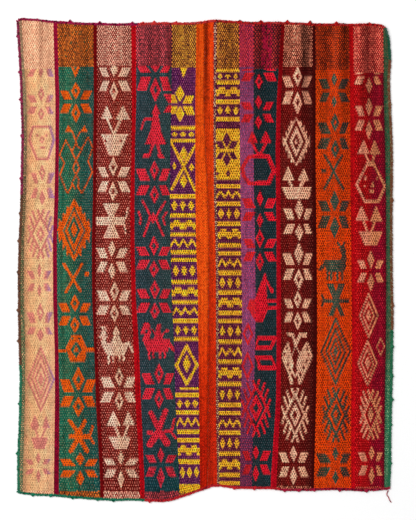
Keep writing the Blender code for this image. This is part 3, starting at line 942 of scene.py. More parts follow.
def make_woven_wool():
    """Warp-faced cloth seen close: each cell is a float of two yarns lying over the weft."""
    group, start, end = node_group(
        "woven wool",
        [("Cells Across", "NodeSocketFloat", 173.0), ("Cells Along", "NodeSocketFloat", 470.0),
         ("Dye", "NodeSocketColor", None), ("Fuzz", "NodeSocketFloat", 0.3)],
        [("Color", "NodeSocketColor"), ("Roughness", "NodeSocketFloat"),
         ("Height", "NodeSocketFloat")],
    )
    links = group.links
    places = group.nodes.new("ShaderNodeUVMap")
    places.uv_map = "weave"
    split = group.nodes.new("ShaderNodeSeparateXYZ")
    links.new(places.outputs["UV"], split.inputs["Vector"])
    across = add_math(group, "MULTIPLY", split.outputs["X"], start.outputs["Cells Across"])
    length = add_math(group, "MULTIPLY", split.outputs["Y"], start.outputs["Cells Along"])
    # round backs of the yarns, two to a cell, and the dip at each end of a float
    yarn = add_math(group, "ABSOLUTE",
                    add_math(group, "SINE", add_math(group, "MULTIPLY", across, 2 * math.pi)))
    # half a float further on in every second yarn
    place_in_pair = add_math(group, "FRACT", across)
    stagger = add_math(group, "MULTIPLY", add_math(group, "GREATER_THAN", place_in_pair, 0.5), 0.5)
    turn = add_math(group, "MULTIPLY", add_math(group, "ADD", length, stagger), math.pi)
    dip_shade = add_math(group, "ABSOLUTE", add_math(group, "SINE", turn))
    # the plies lean one way in each yarn
    lean = add_math(group, "MULTIPLY_ADD", across, 2.0, add_math(group, "MULTIPLY", length, 2.5))
    ply = add_math(group, "SINE", add_math(group, "MULTIPLY", lean, 2 * math.pi))
    object_place = group.nodes.new("ShaderNodeTexCoord").outputs["Object"]
    fibres = group.nodes.new("ShaderNodeTexNoise")
    fibres.inputs["Scale"].default_value = WEAVE_FIBRE_SCALE
    fibres.inputs["Detail"].default_value = 3.0
    links.new(object_place, fibres.inputs["Vector"])
    height = add_math(group, "MULTIPLY", yarn, add_math(group, "MULTIPLY_ADD", dip_shade, *FLOAT_DIP))
    height = add_math(group, "MULTIPLY_ADD", ply, PLY_RELIEF, height)
    height = add_math(group, "MULTIPLY_ADD", fibres.outputs["Fac"], start.outputs["Fuzz"], height)
    shade = group.nodes.new("ShaderNodeHueSaturation")
    links.new(start.outputs["Dye"], shade.inputs["Color"])
    links.new(add_math(group, "MULTIPLY_ADD", height, *CLOTH_SHADE), shade.inputs["Value"])
    links.new(shade.outputs["Color"], end.inputs["Color"])
    links.new(add_math(group, "MULTIPLY_ADD", fibres.outputs["Fac"], *CLOTH_ROUGHNESS),
              end.inputs["Roughness"])
    links.new(height, end.inputs["Height"])
    return group


WOVEN_WOOL = make_woven_wool()


def cloth_material(name, columns):
    """Material of a panel: its charted dyes on the cells of the weave."""
    material, weave = matt_material(name, WOVEN_WOOL, relief_strength=0.7, relief_depth=0.0004,
                                    shine=0.03)
    tree = material.node_tree
    dye = tree.nodes.new("ShaderNodeAttribute")
    dye.attribute_name = "dye"
    weave.inputs["Cells Across"].default_value = columns
    weave.inputs["Cells Along"].default_value = CLOTH_ROWS
    tree.links.new(dye.outputs["Color"], weave.inputs["Dye"])
    return material


# Ends of the evenly spaced rows, and how far in from them the cloth follows the edging
LOW_ROW, HIGH_ROW = -0.500, 0.505
FOLLOWING = 0.080
# How far in from its sides the cloth thins, and how round it is there
THINNING_WIDTH = 0.006
THINNING_POWER = 0.6
BACK_SHADE = 0.8


def panel_grid(first_column, last_column, stripe_lines, ends):
    """Corners of the cells of a panel, and the lines between its stripes, in metres."""
    left_inset = SHEET_INSET if first_column == LEFT_SIDE else SEAM_GAP / 2
    right_inset = SHEET_INSET if last_column == RIGHT_SIDE else SEAM_GAP / 2
    rows_y = np.linspace(LOW_ROW, HIGH_ROW, CLOTH_ROWS + 1)
    rows_down = CHART_MIDDLE[1] - rows_y / END
    columns = sum(ends)
    y = np.repeat(rows_y[:, None], columns + 1, axis=1)
    near_top = np.clip((y - (HIGH_ROW - FOLLOWING)) / FOLLOWING, 0.0, 1.0) ** 2
    near_bottom = np.clip((LOW_ROW + FOLLOWING - y) / FOLLOWING, 0.0, 1.0) ** 2
    inner = [(np.interp(rows_down, LINE_PLACES, line) - CHART_MIDDLE[0]) * END
             for line in stripe_lines]
    # both ends of the cloth follow the line of the edging, then the sides follow it in their turn
    for _ in range(3):
        left = [along(SIDE_LINES, v / MM, first_column) * MM + left_inset for v in y[:, 0]]
        right = [along(SIDE_LINES, v / MM, last_column) * MM - right_inset for v in y[:, -1]]
        lines = [np.array(left), *inner, np.array(right)]
        x = np.zeros((CLOTH_ROWS + 1, columns + 1))
        at = 0
        for count, start, stop in zip(ends, lines, lines[1:]):
            for k in range(count + 1):
                x[:, at + k] = start + (stop - start) * k / count
            at += count
        top = np.interp(x, *zip(*[(p * MM, q * MM) for p, q in TOP_LINE])) - SHEET_INSET
        bottom = np.interp(x, *zip(*[(p * MM, q * MM) for p, q in BOTTOM_LINE])) + SHEET_INSET
        y = rows_y[:, None] + near_top * (top - HIGH_ROW) + near_bottom * (bottom - LOW_ROW)
    return x, y, lines


def panel_colours(x, y, lines, stripes, plain, dyes, charts, seed):
    """Linear colours of the cells of a panel, stripe by stripe."""
    a = (x[:-1, :-1] + x[1:, 1:]) / 2 / END + CHART_MIDDLE[0]
    d = CHART_MIDDLE[1] - (y[:-1, :-1] + y[1:, 1:]) / 2 / END
    colours = np.zeros((*a.shape, 3))
    at = 0
    for k, stripe in enumerate(stripes):
        part = slice(at, at + stripe[1])
        low = lines[k][:-1, None] / END + CHART_MIDDLE[0]
        high = lines[k + 1][:-1, None] / END + CHART_MIDDLE[0]
        colours[:, part] = paint(a[:, part], d[:, part], (a[:, part] - low) / (high - low), low,
                                 high, stripe, plain, dyes, charts, seed + 3 * k)
        at += stripe[1]
    return np.clip(colours, 0.0, 1.0)


def panel_mesh(name, x, y, face_z, back_z, colours):
    """Closed mesh of a panel: a quad to a cell in front, a coarse grid behind, and a rim."""
    columns = colours.shape[1]
    mesh = bmesh.new()
    face = [[mesh.verts.new((x[r, c], y[r, c], face_z[r, c])) for c in range(columns + 1)]
            for r in range(CLOTH_ROWS + 1)]
    row_marks = [round(k * CLOTH_ROWS / BACK_ROWS) for k in range(BACK_ROWS + 1)]
    column_marks = [round(k * columns / BACK_COLUMNS) for k in range(BACK_COLUMNS + 1)]
    back = {}
    for r in range(CLOTH_ROWS + 1):
        for c in range(columns + 1):
            on_rim = r in (0, CLOTH_ROWS) or c in (0, columns)
            if on_rim or (r in row_marks and c in column_marks):
                back[r, c] = mesh.verts.new((x[r, c], y[r, c], back_z[r, c]))
    dye = mesh.loops.layers.float_color.new("dye")
    uv = mesh.loops.layers.uv.new("weave")

    def cover(corners, colour, places):
        """Adds a face, its dye and its place on the weave, a column and row for each corner."""
        made = mesh.faces.new(corners)
        made.smooth = True
        for loop, (u, v) in zip(made.loops, places):
            loop[dye] = (*colour, 1.0)
            loop[uv].uv = (u / columns, v / CLOTH_ROWS)

    for r in range(CLOTH_ROWS):
        for c in range(columns):
            cover((face[r][c], face[r][c + 1], face[r + 1][c + 1], face[r + 1][c]),
                  colours[r, c], ((c, r), (c + 1, r), (c + 1, r + 1), (c, r + 1)))
    # the back's outermost faces take in every corner of the rim, so that no gap is left
    for r0, r1 in zip(row_marks, row_marks[1:]):
        for c0, c1 in zip(column_marks, column_marks[1:]):
            down_side = range(c0, c1 + 1) if r0 == 0 else (c0, c1)
            up_side = range(c0, c1 + 1) if r1 == CLOTH_ROWS else (c0, c1)
            left_side = range(r0, r1 + 1) if c0 == 0 else (r0, r1)
            right_side = range(r0, r1 + 1) if c1 == columns else (r0, r1)
            ring = ([(r, c0) for r in left_side][:-1] + [(r1, c) for c in up_side][:-1]
                    + [(r, c1) for r in reversed(right_side)][:-1]
                    + [(r0, c) for c in reversed(down_side)][:-1])
            colour = colours[r0:r1, c0:c1].mean(axis=(0, 1)) * BACK_SHADE
            cover([back[p] for p in ring], colour, [(c, r) for r, c in ring])
    rim_places = ([(0, c) for c in range(columns)] + [(r, columns) for r in range(CLOTH_ROWS)]
                  + [(CLOTH_ROWS, c) for c in range(columns, 0, -1)]
                  + [(r, 0) for r in range(CLOTH_ROWS, 0, -1)])
    for p, q in zip(rim_places, rim_places[1:] + rim_places[:1]):
        cell = (min(p[0], q[0], CLOTH_ROWS - 1), min(p[1], q[1], columns - 1))
        cover((back[p], back[q], face[q[0]][q[1]], face[p[0]][p[1]]), colours[cell] * BACK_SHADE,
              ((p[1], p[0]), (q[1], q[0]), (q[1], q[0]), (p[1], p[0])))
    data = bpy.data.meshes.new(name)
    mesh.to_mesh(data)
    mesh.free()
    return data


def woven_panel(name, node, first_column, last_column, stripe_lines, stripes, plain, dyes, charts,
                seed):
    """One panel as a closed cloth, thinner towards its sides, with a slightly uneven face."""
    x, y, lines = panel_grid(first_column, last_column, stripe_lines, [s[1] for s in stripes])
    rim = np.minimum(x - x[:, :1], x[:, -1:] - x)
    thick = SELVEDGE_THINNING + (1 - SELVEDGE_THINNING) * (
        np.clip(rim / THINNING_WIDTH, 0.0, 1.0) ** THINNING_POWER)
    back_z = lift(x, y)
    wave = RELIEF * (speckle(x.shape, seed + 50) - 0.5) * 2.0
    face_z = back_z + CLOTH_THICKNESS * thick + np.where(rim > 0, wave, 0.0)
    colours = panel_colours(x, y, lines, stripes, plain, dyes, charts, seed)
    data = panel_mesh(name, x, y, face_z, back_z, colours)
    return finish_piece(name, data, cloth_material(name + " wool", colours.shape[1]), [node])


left_cloth = woven_panel(
    "left_cloth", "left_panel", LEFT_SIDE, SEAM_LINE, LEFT_STRIPE_LINES, LEFT_STRIPES, LEFT_PLAIN,
    LEFT_DYES,
    (LEFT_STARS, LEFT_BLOCKS, LEFT_STROKES, LEFT_LOZENGES, LEFT_SUNS, LEFT_ROWS,
     LEFT_CUT_LOZENGES, LEFT_REFILLS), seed=11,
)

# Right panel: woven as the left one and sewn to it, with five bands of its own between plain
# stripes. The yellow band at the seam has a dotted selvedge.
RIGHT_STRIPE_LINES = [
    (213.7, 213.5, 213.5, 214, 215.5, 216, 216, 216, 217),
    (216.5, 216, 216, 216.5, 218, 218.5, 218.5, 218.5, 219.5),
    (239, 239.8, 239.8, 240.5, 241, 242, 242, 241, 239.8),
    (253.5, 253.5, 253.5, 254, 255, 255.5, 255, 253.5, 252),
    (281, 276.8, 275.5, 276, 276.5, 276.5, 276.5, 276, 270.8),
    (284.5, 281, 280, 280.5, 280.5, 281, 281, 280.5, 276.5),
    (312.5, 312.5, 312, 312.5, 313, 313.5, 313, 312.5, 311),
    (315.3, 315.7, 315.5, 316, 316.5, 317, 317, 316, 314),
    (349, 350, 350.3, 350.5, 351, 351.5, 352, 351, 351),
    (353, 354, 354.8, 355, 355, 355.5, 355.5, 355, 355),
    (383.0, 383.8, 385.2, 386, 386.2, 386.2, 385.8, 384.8, 384.2),
]
RIGHT_STRIPES = [
    ("orange stripe", 8, None, None, 0.0, 0.0),
    ("dotted selvedge", 3, None, None, 0.0, 0.0),
    ("gold band", 21, 68.5, 487.0, 0.12, 0.95),
    ("mauve band", 13, 67.0, 488.0, 0.60, 0.50),
    ("teal band", 20, 68.5, 487.0, 0.04, 0.60),
    ("red stripe", 4, None, None, 0.0, 0.0),
    ("dark red band", 30, 67.0, 485.5, 0.08, 0.90),
    ("maroon stripe", 3, None, None, 0.0, 0.0),
    ("orange band", 32, 69.5, 487.5, 0.75, 0.40),
    ("bright red stripe", 4, None, None, 0.0, 0.0),
    ("two-red band", 28, 73.0, 486.5, 0.07, 0.60),
    ("green selvedge", 6, None, None, 0.0, 0.0),
]
RIGHT_PLAIN = {
    "orange stripe": [(25, (204, 54, 8)), (210, (212, 58, 10)), (320, (196, 42, 8)),
                      (440, (184, 34, 10))],
    # painted shade in the seam's hollow at the stripe's left side, painted light on the slope rising
    # from it
    "orange stripe across": [(0.0, 0.62), (0.15, 0.84), (0.35, 0.72), (0.6, 1.05), (0.8, 1.3),
                             (1.0, 1.4)],
    "dotted selvedge": [(25, (92, 34, 44)), (480, (98, 40, 48))],
    "dotted selvedge second": [(25, (212, 166, 138)), (480, (214, 172, 118))],
    "red stripe": [(25, (128, 5, 8)), (90, (160, 6, 18)), (480, (176, 8, 26))],
    "maroon stripe": [(25, (65, 7, 6)), (480, (65, 7, 6))],
    "bright red stripe": [(25, (162, 8, 12)), (480, (184, 7, 18))],
    "green selvedge": [(25, (44, 78, 52)), (150, (36, 84, 56)), (320, (50, 88, 62)),
                       (400, (44, 104, 72)), (480, (48, 108, 76))],
    "green selvedge second": [(25, (100, 76, 54)), (340, (100, 96, 70)), (400, (110, 150, 110)),
                              (480, (120, 156, 114))],
    "green selvedge across": [(0.0, 0.62), (0.3, 0.84), (0.6, 1.12), (1.0, 1.24)],
}
RIGHT_DYES = {
    "gold band": ([(0.0, (88, 22, 56), (212, 144, 38)), (1.0, (86, 26, 50), (204, 136, 38))],
                  (56, 10, 28), (214, 130, 40), 0.22),
    "mauve band": ([(0.0, (142, 66, 104), (196, 36, 46)), (1.0, (138, 62, 102), (196, 34, 44))],
                   (110, 28, 60), (196, 50, 56), 0.39),
    "teal band": ([(0.0, (32, 46, 50), (200, 26, 40)), (1.0, (24, 48, 52), (204, 26, 40))],
                  (46, 18, 24), (166, 40, 38), 0.20, (140, 16, 44), 0.62, 0.30, 0.68),
    "dark red band": ([(0.0, (98, 12, 12), (216, 152, 120)), (0.25, (106, 15, 14), (220, 156, 126)),
                       (0.5, (104, 15, 14), (220, 156, 128)), (0.75, (90, 10, 11), (208, 142, 112)),
                       (1.0, (68, 10, 10), (192, 130, 102))],
                      (62, 6, 6), (234, 134, 104), 0.17),
    "orange band": ([(0.0, (194, 57, 14), (56, 44, 34)), (0.25, (195, 58, 14), (64, 60, 46)),
                     (0.42, (196, 59, 14), (60, 77, 62)), (0.60, (194, 58, 14), (60, 75, 62)),
                     (0.75, (192, 55, 14), (64, 56, 46)), (1.0, (186, 50, 14), (54, 38, 36))],
                    (78, 26, 16), (204, 58, 12), 0.16),
    "two-red band": ([(0.0, (165, 7, 15), (210, 122, 98)), (0.42, (155, 7, 15), (202, 117, 88)),
                      (0.58, (133, 3, 29), (192, 112, 74)), (0.94, (129, 3, 31), (188, 110, 74)),
                      (1.0, (64, 18, 22), (120, 74, 54))],
                     (118, 9, 18), (228, 100, 80), 0.18),
}
RIGHT_STARS = {
    "teal band": [
        (259, 71, 50, 90, 4, "lower", 18.3, 18, 0.1, 10.5, 2),
        (258.3, 112.3, 95, 129.5, 3.4, "none", 18, 15.7, 10.3, 10.3, 3),
        (260, 210.3, 190, 228, 3.2, "none", 18.3, 16.5, 12, 10.5, 2.7),
        (259.9, 250, 229, 271, 4.2, "both", 17, 16.7, 11.3, 11.3, 1.8),
        (255.7, 462.5, 445, 482, 3.1, "none", 14, 15, 11.5, 12, 2.5),
    ],
    "dark red band": [
        (297.5, 89.2, 66.5, 114.5, 4.8, "both", 15.5, 14.5, 13, 15, 2.2),
        (299.2, 221.8, 198.5, 241, 4.4, "none", 15.8, 13, 13, 12, 2.2),
        (298.7, 267, 242, 290, 4.9, "lower", 16.2, 13.8, 13.5, 12.8, 1.8),
        (297.6, 310.2, 290, 330, 4.1, "both", 14.2, 14, 11.2, 12, 1.8),
        (293.4, 464.5, 445.5, 485, 3.7, "none", 14.6, 15, 12.3, 12.3, 2.2),
    ],
    "orange band": [
        (334, 90.7, 73, 108, 2.8, "none", 15.5, 15.3, 11.7, 11.5, 4.8),
        (335, 135.8, 113, 159, 4.5, "both", 17.8, 14, 13, 13.5, 3.5),
        (334.5, 213.8, 190, 239, 4.8, "none", 16.6, 14.8, 13, 14, 2.2),
        (335.4, 465, 446, 485, 3.1, "none", 19.5, 14.8, 11.5, 11.5, 4.4),
    ],
    "two-red band": [
        (369, 74.5, 55, 94, 3.3, "none", 15.5, 12.5, 0.1, 10.5, 2.5),
        (368.8, 118, 97.5, 140, 3.5, "none", 14, 14, 12, 12.3, 1.8),
        (370.7, 271, 250, 291.5, 3.6, "none", 13.5, 13, 10.5, 11, 1.7),
        (371.6, 463.3, 445.5, 485, 2.9, "none", 13.8, 11.2, 10.8, 12, 2.8),
    ],
}
# The figures of the teal band run on into the mauve band beside it
RIGHT_STARS["mauve band"] = RIGHT_STARS["teal band"]
RIGHT_BLOCKS = {
    "gold band": [(128.5, 214, 242, 180, 214, 242)],
    "gold band cut": [
        (141, 215.6, 221.8, 149, 219.6, 225), (141, 231.8, 238, 149, 228.6, 234),
        (152.4, 219.4, 225, 159.4, 215.6, 221.6), (152.4, 228.6, 234.2, 159.4, 232, 238),
    ],
    "teal band": [
        (131, 251.8, 252.6, 143, 247, 258), (131, 265.6, 266.4, 143, 260, 271.5),
        (273, 264.6, 265.4, 281, 262, 267.5), (281, 261.5, 266, 299, 255, 267),
        (299, 249.5, 267.5, 309, 247, 268), (309, 248, 268, 322, 256, 262.5),
        (299, 268, 277.5, 302.5, 268, 277.5), (306, 268, 277.5, 309.5, 268, 277.5),
        (335.8, 257.5, 277, 340.3, 256.5, 276), (345.3, 256, 273, 350, 254.5, 271.5),
        (340, 272.3, 276, 346, 270, 273.5), (340, 256.5, 258.5, 346, 255.5, 257.5),
        (355.2, 254.5, 271.5, 359.8, 256, 273), (365.3, 257, 276, 370, 258.5, 277),
        (359, 271, 273.5, 366, 273.5, 276.5), (359, 256, 259, 366, 258, 261.5),
    ],
    "dark red band": [
        (332.3, 286, 292.8, 336.6, 288.4, 294), (332.3, 300.2, 307, 337.6, 302.3, 306.6),
        (342, 287.4, 288.7, 354, 282, 291), (354, 282, 291, 359, 281.8, 292),
        (359, 281.8, 292, 364, 283.6, 293.8), (364, 283.6, 293.8, 370, 286.6, 292.4),
        (370, 286.6, 292.4, 384, 290.4, 292.8), (342, 306.6, 307.9, 350, 301.4, 311),
        (350, 301.4, 311, 356, 298.2, 312.6), (356, 298.2, 312.6, 365, 296.3, 309.5),
        (365, 296.3, 309.5, 371, 297, 306.2), (371, 297, 306.2, 384, 298.4, 301),
        (167, 287.6, 288.4, 180.5, 282, 294.5), (169, 303.2, 304, 181, 297.5, 309),
        (187, 281.5, 311.5, 199, 287, 309),
    ],
    "orange band": [
        (169.5, 321, 326, 173, 321, 326), (246, 339.5, 344, 252, 340.5, 346.5),
        (250, 341, 345.5, 262, 341.5, 346.5), (258, 341, 346, 270.5, 338, 345.5),
        (260, 323.5, 341.5, 272, 326.5, 341.5), (283.5, 326.5, 333.5, 297, 332, 337),
        (283.5, 338, 345, 297, 335, 340), (294, 332, 340, 306, 333, 339.5),
        (304, 333, 337.5, 316, 328, 333), (304, 336, 340, 316, 340, 345),
        (299, 322, 349.5, 302.5, 322, 349.5),
    ],
    "two-red band": [
        (140, 363.1, 363.9, 154, 357, 369.5), (140.5, 373.9, 374.7, 154.5, 369.5, 380.5),
        (206, 361.1, 361.9, 220.5, 355.5, 368.5), (206, 375.4, 376.2, 221.5, 370, 382.5),
        (231.5, 358.5, 382.5, 245.5, 364.5, 376.5), (161.5, 366, 374.5, 166.5, 367, 373.5),
        (199.5, 363, 380, 203, 364, 379), (176, 364.3, 366.3, 180.5, 364.3, 366.3),
        (177, 376.5, 378, 180.5, 376.5, 378), (181.5, 372.5, 373, 187, 370.5, 374.5),
        (189.5, 368.5, 374, 193.2, 370, 373.3), (185, 363.5, 365.5, 187, 363.5, 365.5),
    ],
}
RIGHT_BLOCKS["mauve band"] = RIGHT_BLOCKS["teal band"]
RIGHT_STROKES = {
    "teal band": [
        (2.6, [(252.5, 143), (258, 154)]), (2.6, [(266, 143), (260.5, 154)]),
        (3.8, [(258, 156), (249, 157), (242, 168), (244, 176), (249, 183.5), (258, 183.5)]),
        (4.4, [(258, 156), (268, 156.5), (274, 171), (268.5, 183), (258, 183)]),
        (2.2, [(267, 281), (271.5, 291)]), (3.2, [(271.6, 289), (271.8, 291.5)]),
    ],
    "dark red band": [
        (3.0, [(288.5, 180), (292.5, 188)]), (3.2, [(303.5, 180), (300, 188)]),
        (2.8, [(292.6, 334), (295.6, 345), (300.4, 334)]), (1.2, [(295.6, 345), (291.4, 356)]),
        (1.4, [(295.6, 345), (299, 353)]), (1.6, [(292.6, 371), (295, 377), (297.8, 371)]),
    ],
    "orange band": [
        (2.4, [(324.5, 155), (333.5, 171), (343, 189)]),
        (2.4, [(342, 155.5), (333, 172), (324.5, 189)]),
        (2.2, [(338, 243), (341, 248)]), (2.0, [(344, 242.5), (343, 248)]),
        (3.4, [(326, 262), (320, 269.5)]), (2.2, [(327.7, 271), (327.7, 279)]),
        (2.4, [(331.2, 271), (331.2, 279.5)]), (2.2, [(337.2, 271), (337.2, 280)]),
        (2.2, [(342.3, 269), (342.3, 279.5)]), (2.4, [(322, 295), (324.2, 300.5), (322, 306)]),
    ],
    "two-red band": [
        (2.2, [(365, 154), (369, 162.5)]), (2.2, [(374.5, 154), (372, 162.5)]),
        (2.6, [(366.5, 165), (356.5, 185), (364.5, 201)]),
        (2.6, [(374, 165), (385, 186), (378.5, 201)]),
        (2.2, [(363, 220), (367.5, 232)]), (2.2, [(374.5, 221), (371.5, 232)]),
    ],
}
RIGHT_STROKES["mauve band"] = RIGHT_STROKES["teal band"]
RIGHT_LOZENGES = {
    "dark red band": [(296.2, 141.8, 10.9, 24.8, 0)],
    "mauve band": [(248, 334, 5.5, 12, 0.55), (247.5, 366, 6.3, 15, 0.6)],
    "orange band": [(335.5, 351.5, 15.5, 35, 0.86), (335.5, 351.5, 10.6, 24.5, 0.8),
                    (335.5, 351.5, 6.2, 15, 0.7), (335.5, 351.5, 2.4, 6.5, 0)],
    "two-red band": [(368.6, 315.5, 9.9, 23.5, 0.82), (368.6, 315.5, 6.2, 15.5, 0.72),
                     (368.6, 315.5, 2.6, 6.5, 0), (367.5, 363, 10.3, 24, 0.82),
                     (367.5, 363, 6.6, 16, 0.74), (367.5, 363, 2.8, 7, 0),
                     (380.5, 346.5, 4.4, 9.8, 0.72), (370.5, 413, 3, 8, 0)],
}
RIGHT_CUT_LOZENGES = {
    "gold band": [(226.8, 140, 4.2, 8, 0), (226.8, 159.4, 4.2, 7.6, 0),
                  (228.3, 173.5, 2.4, 3.2, 0), (217.4, 173.5, 1.8, 2.4, 0)],
    "dark red band": [(296.2, 141.8, 9.8, 22.3, 0.72), (296.2, 141.8, 3.7, 8.6, 0.40),
                      (286.5, 348.5, 1, 2.8, 0), (284.5, 354.3, 1, 2.8, 0),
                      (288, 363.5, 1, 3, 0), (290, 369.3, 0.9, 2.5, 0), (291.8, 375, 1.2, 3, 0),
                      (307.2, 348, 1, 2.8, 0), (308.4, 355, 1, 3, 0), (306.3, 361, 1, 3, 0),
                      (303.8, 366.8, 1, 3, 0), (300.3, 374, 1.3, 3.4, 0)],
}
RIGHT_SUNS = {
    "teal band": [(256, 408, 12.2, 24.0, 2.8, 6.8, 13.8)],
    "dark red band": [(295.0, 414.8, 11.2, 22.8, 2.7, 5.6, 12.2),
                      (296.2, 141.8, 13.6, 30.5, 2.6, 0.30, 13.4, 20.6)],
    "orange band": [(335.8, 414.5, 11.4, 22.8, 2.8, 5.6, 12.0)],
    "two-red band": [(370.6, 414.5, 8.4, 20.5, 2.4, 3.2, 8.6)],
}
RIGHT_SUNS["mauve band"] = RIGHT_SUNS["teal band"]
RIGHT_ROWS = {
    "gold band": [
        ("bar", 68.5, 72.5), ("diamonds", 73.5, 79), ("bar", 80.5, 85), ("steps", 87.5, 97),
        ("bar", 99.5, 104), ("diamonds", 106, 115), ("bar", 117, 121.5), ("bar", 184, 188),
        ("zigzag", 190, 199), ("bar", 201.5, 206), ("diamonds", 208, 219), ("bar", 221.5, 226),
        ("steps", 229, 240), ("bar", 243, 247.5), ("bar", 251.5, 255.5), ("zigzag", 258, 268),
        ("bar", 270.5, 275), ("diamonds", 277, 288), ("bar", 290, 294.5), ("steps", 297.5, 308),
        ("bar", 310.5, 315), ("bar", 319, 323), ("diamonds", 325.5, 337), ("bar", 339.5, 344),
        ("zigzag", 346.5, 357), ("bar", 359.5, 364), ("steps", 367, 379), ("bar", 381.5, 386),
        ("diamonds", 388.5, 400), ("bar", 402.5, 407), ("bar", 411, 415), ("zigzag", 418, 428),
        ("bar", 430.5, 435), ("diamonds", 437.5, 449), ("bar", 451.5, 456), ("steps", 459, 470),
        ("bar", 472.5, 477), ("bar", 481, 485),
    ],
}
right_cloth = woven_panel(
    "right_cloth", "right_panel", SEAM_LINE, RIGHT_SIDE, RIGHT_STRIPE_LINES, RIGHT_STRIPES,
    RIGHT_PLAIN, RIGHT_DYES,
    (RIGHT_STARS, RIGHT_BLOCKS, RIGHT_STROKES, RIGHT_LOZENGES, RIGHT_SUNS, RIGHT_ROWS,
     RIGHT_CUT_LOZENGES, {}), seed=211,
)

# Crocheted edging: wool worked through the edge of the cloth, one tight stitch beside the next,
# in lengths of different dyes, with a small knob every few centimetres. One stitch is modelled,
# then copied along each length.
STITCH_PITCH = 0.0031
STITCH_RING = 0.00125
STITCH_YARN = 0.00088
STITCH_STRETCH = (1.70, 0.86, 2.05)
STITCH_LEAN = 24.0
EDGING_RISE = 0.0019

# Lengths of edging (CAD node, first end, last end, main dye, second dye, share of the second)
TOP_LENGTHS = [
    ("edging_top_left", -405, -143, (172, 24, 76), (84, 10, 34), 0.45),
    ("edging_top_middle", -143, 22, (214, 54, 52), (140, 20, 26), 0.4),
    ("edging_top_right", 22, 386, (196, 30, 30), (112, 14, 14), 0.45),
]
BOTTOM_LENGTHS = [
    ("edging_bottom_left", -404, -129, (24, 124, 92), (10, 72, 54), 0.4),
    ("edging_bottom_middle", -129, 161, (200, 34, 44), (128, 14, 30), 0.4),
    ("edging_bottom_right", 161, 398, (170, 24, 58), (100, 10, 32), 0.45),
]
LEFT_LENGTHS = [
    ("edging_left_lower", -495.5, -226, (52, 128, 96), (28, 86, 62), 0.4),
    ("edging_left_middle", -226, 140, (118, 78, 58), (70, 44, 38), 0.4),
    ("edging_left_upper", 140, 509.5, (160, 48, 86), (104, 40, 56), 0.45),
]
RIGHT_LENGTHS = [
    ("edging_right_lower", -488, -150, (48, 118, 84), (26, 88, 60), 0.35),
    ("edging_right_middle", -150, 430, (122, 74, 50), (150, 132, 98), 0.4),
    ("edging_right_upper", 430, 499, (36, 92, 68), (22, 66, 44), 0.35),
]

# Knobs (place along the side, reach beyond the edging), mm
TOP_PICOTS = [
    (-291, 4.6), (-227, 4.0), (-157, 3.4), (-134, 2.4), (-110, 4.2), (-63, 3.4), (74, 3.2),
    (119, 4.0), (176, 5.6), (225, 6.6), (281, 5.4), (352, 3.2),
]
BOTTOM_PICOTS = [
    (-369, 2.4), (-331, 2.2), (-284, 3.0), (-230, 2.6), (-196, 2.6), (-118, 2.8), (64, 2.4),
    (107, 2.6), (172, 3.4), (202, 2.2), (236, 2.4), (290, 4.0), (348, 2.6),
]
LEFT_PICOTS = [
    (480, 2.8), (403, 3.6), (344, 4.0), (266, 3.2), (174, 3.4), (99, 2.4), (40, 4.0),
    (-27, 3.2), (-109, 4.2), (-175, 4.0), (-310, 2.8), (-417, 4.0),
]
RIGHT_PICOTS = [
    (335, 2.2), (129, 2.2), (-97, 2.0), (-185, 2.4), (-249, 2.4), (-299, 4.2), (-353, 2.2),
    (-436, 2.4),
]


# Stitches heaped into one knob: (aside along the edge in mm, share of its reach, size)
KNOB_STITCHES = ((0.0, 0.80, 1.2), (0.0, 0.40, 1.15), (-2.4, 0.35, 1.1), (2.4, 0.35, 1.1))
KNOB_FROM_END = 4
# How far ahead and behind, in mm, the line of the edging is read for its slope
SLOPE_REACH = 2
# Chances of one stitch: reach in mm, turn in degrees, size
STITCH_REACH = (-0.1, 0.9)
STITCH_TURN = (-7, 7)
STITCH_SIZE = (0.94, 1.12)
FOOT_DRAWN_IN = 0.25
EDGING_PLIES = 520.0
SIDE_TURNS = {"right": 0.0, "top": 90.0, "left": 180.0, "bottom": 270.0}


def take_stitch(stretch, lean):
    """Stretches and leans the ring or ball just added, and takes its points and faces."""
    stitch = bpy.context.active_object
    bpy.ops.object.mode_set(mode="EDIT")
    bpy.ops.mesh.select_all(action="SELECT")
    bpy.ops.transform.resize(value=stretch)
    bpy.ops.transform.rotate(value=math.radians(lean), orient_axis="Z", center_override=(0, 0, 0))
    bpy.ops.object.mode_set(mode="OBJECT")
    points = np.array([v.co[:] for v in stitch.data.vertices])
    faces = [tuple(f.vertices) for f in stitch.data.polygons]
    bpy.data.objects.remove(stitch, do_unlink=True)
    return points, faces


def stitches_mesh(name, placed, faces_of_one):
    """One smooth mesh of placed copies of a stitch."""
    faces = [tuple(i + k * len(points) for i in f)
             for k, points in enumerate(placed) for f in faces_of_one]
    data = bpy.data.meshes.new(name)
    data.from_pydata(np.concatenate(placed).tolist(), [], faces)
    data.polygons.foreach_set("use_smooth", [True] * len(faces))
    return data


# One tight loop of yarn, leaning, with its foot drawn in towards the cloth
bpy.ops.mesh.primitive_torus_add(
    major_segments=12, minor_segments=6, major_radius=STITCH_RING, minor_radius=STITCH_YARN
)
stitch_points, stitch_faces = take_stitch(STITCH_STRETCH, STITCH_LEAN)
stitch_points[:, 1] *= 1.0 - FOOT_DRAWN_IN * (stitch_points[:, 0] < 0)


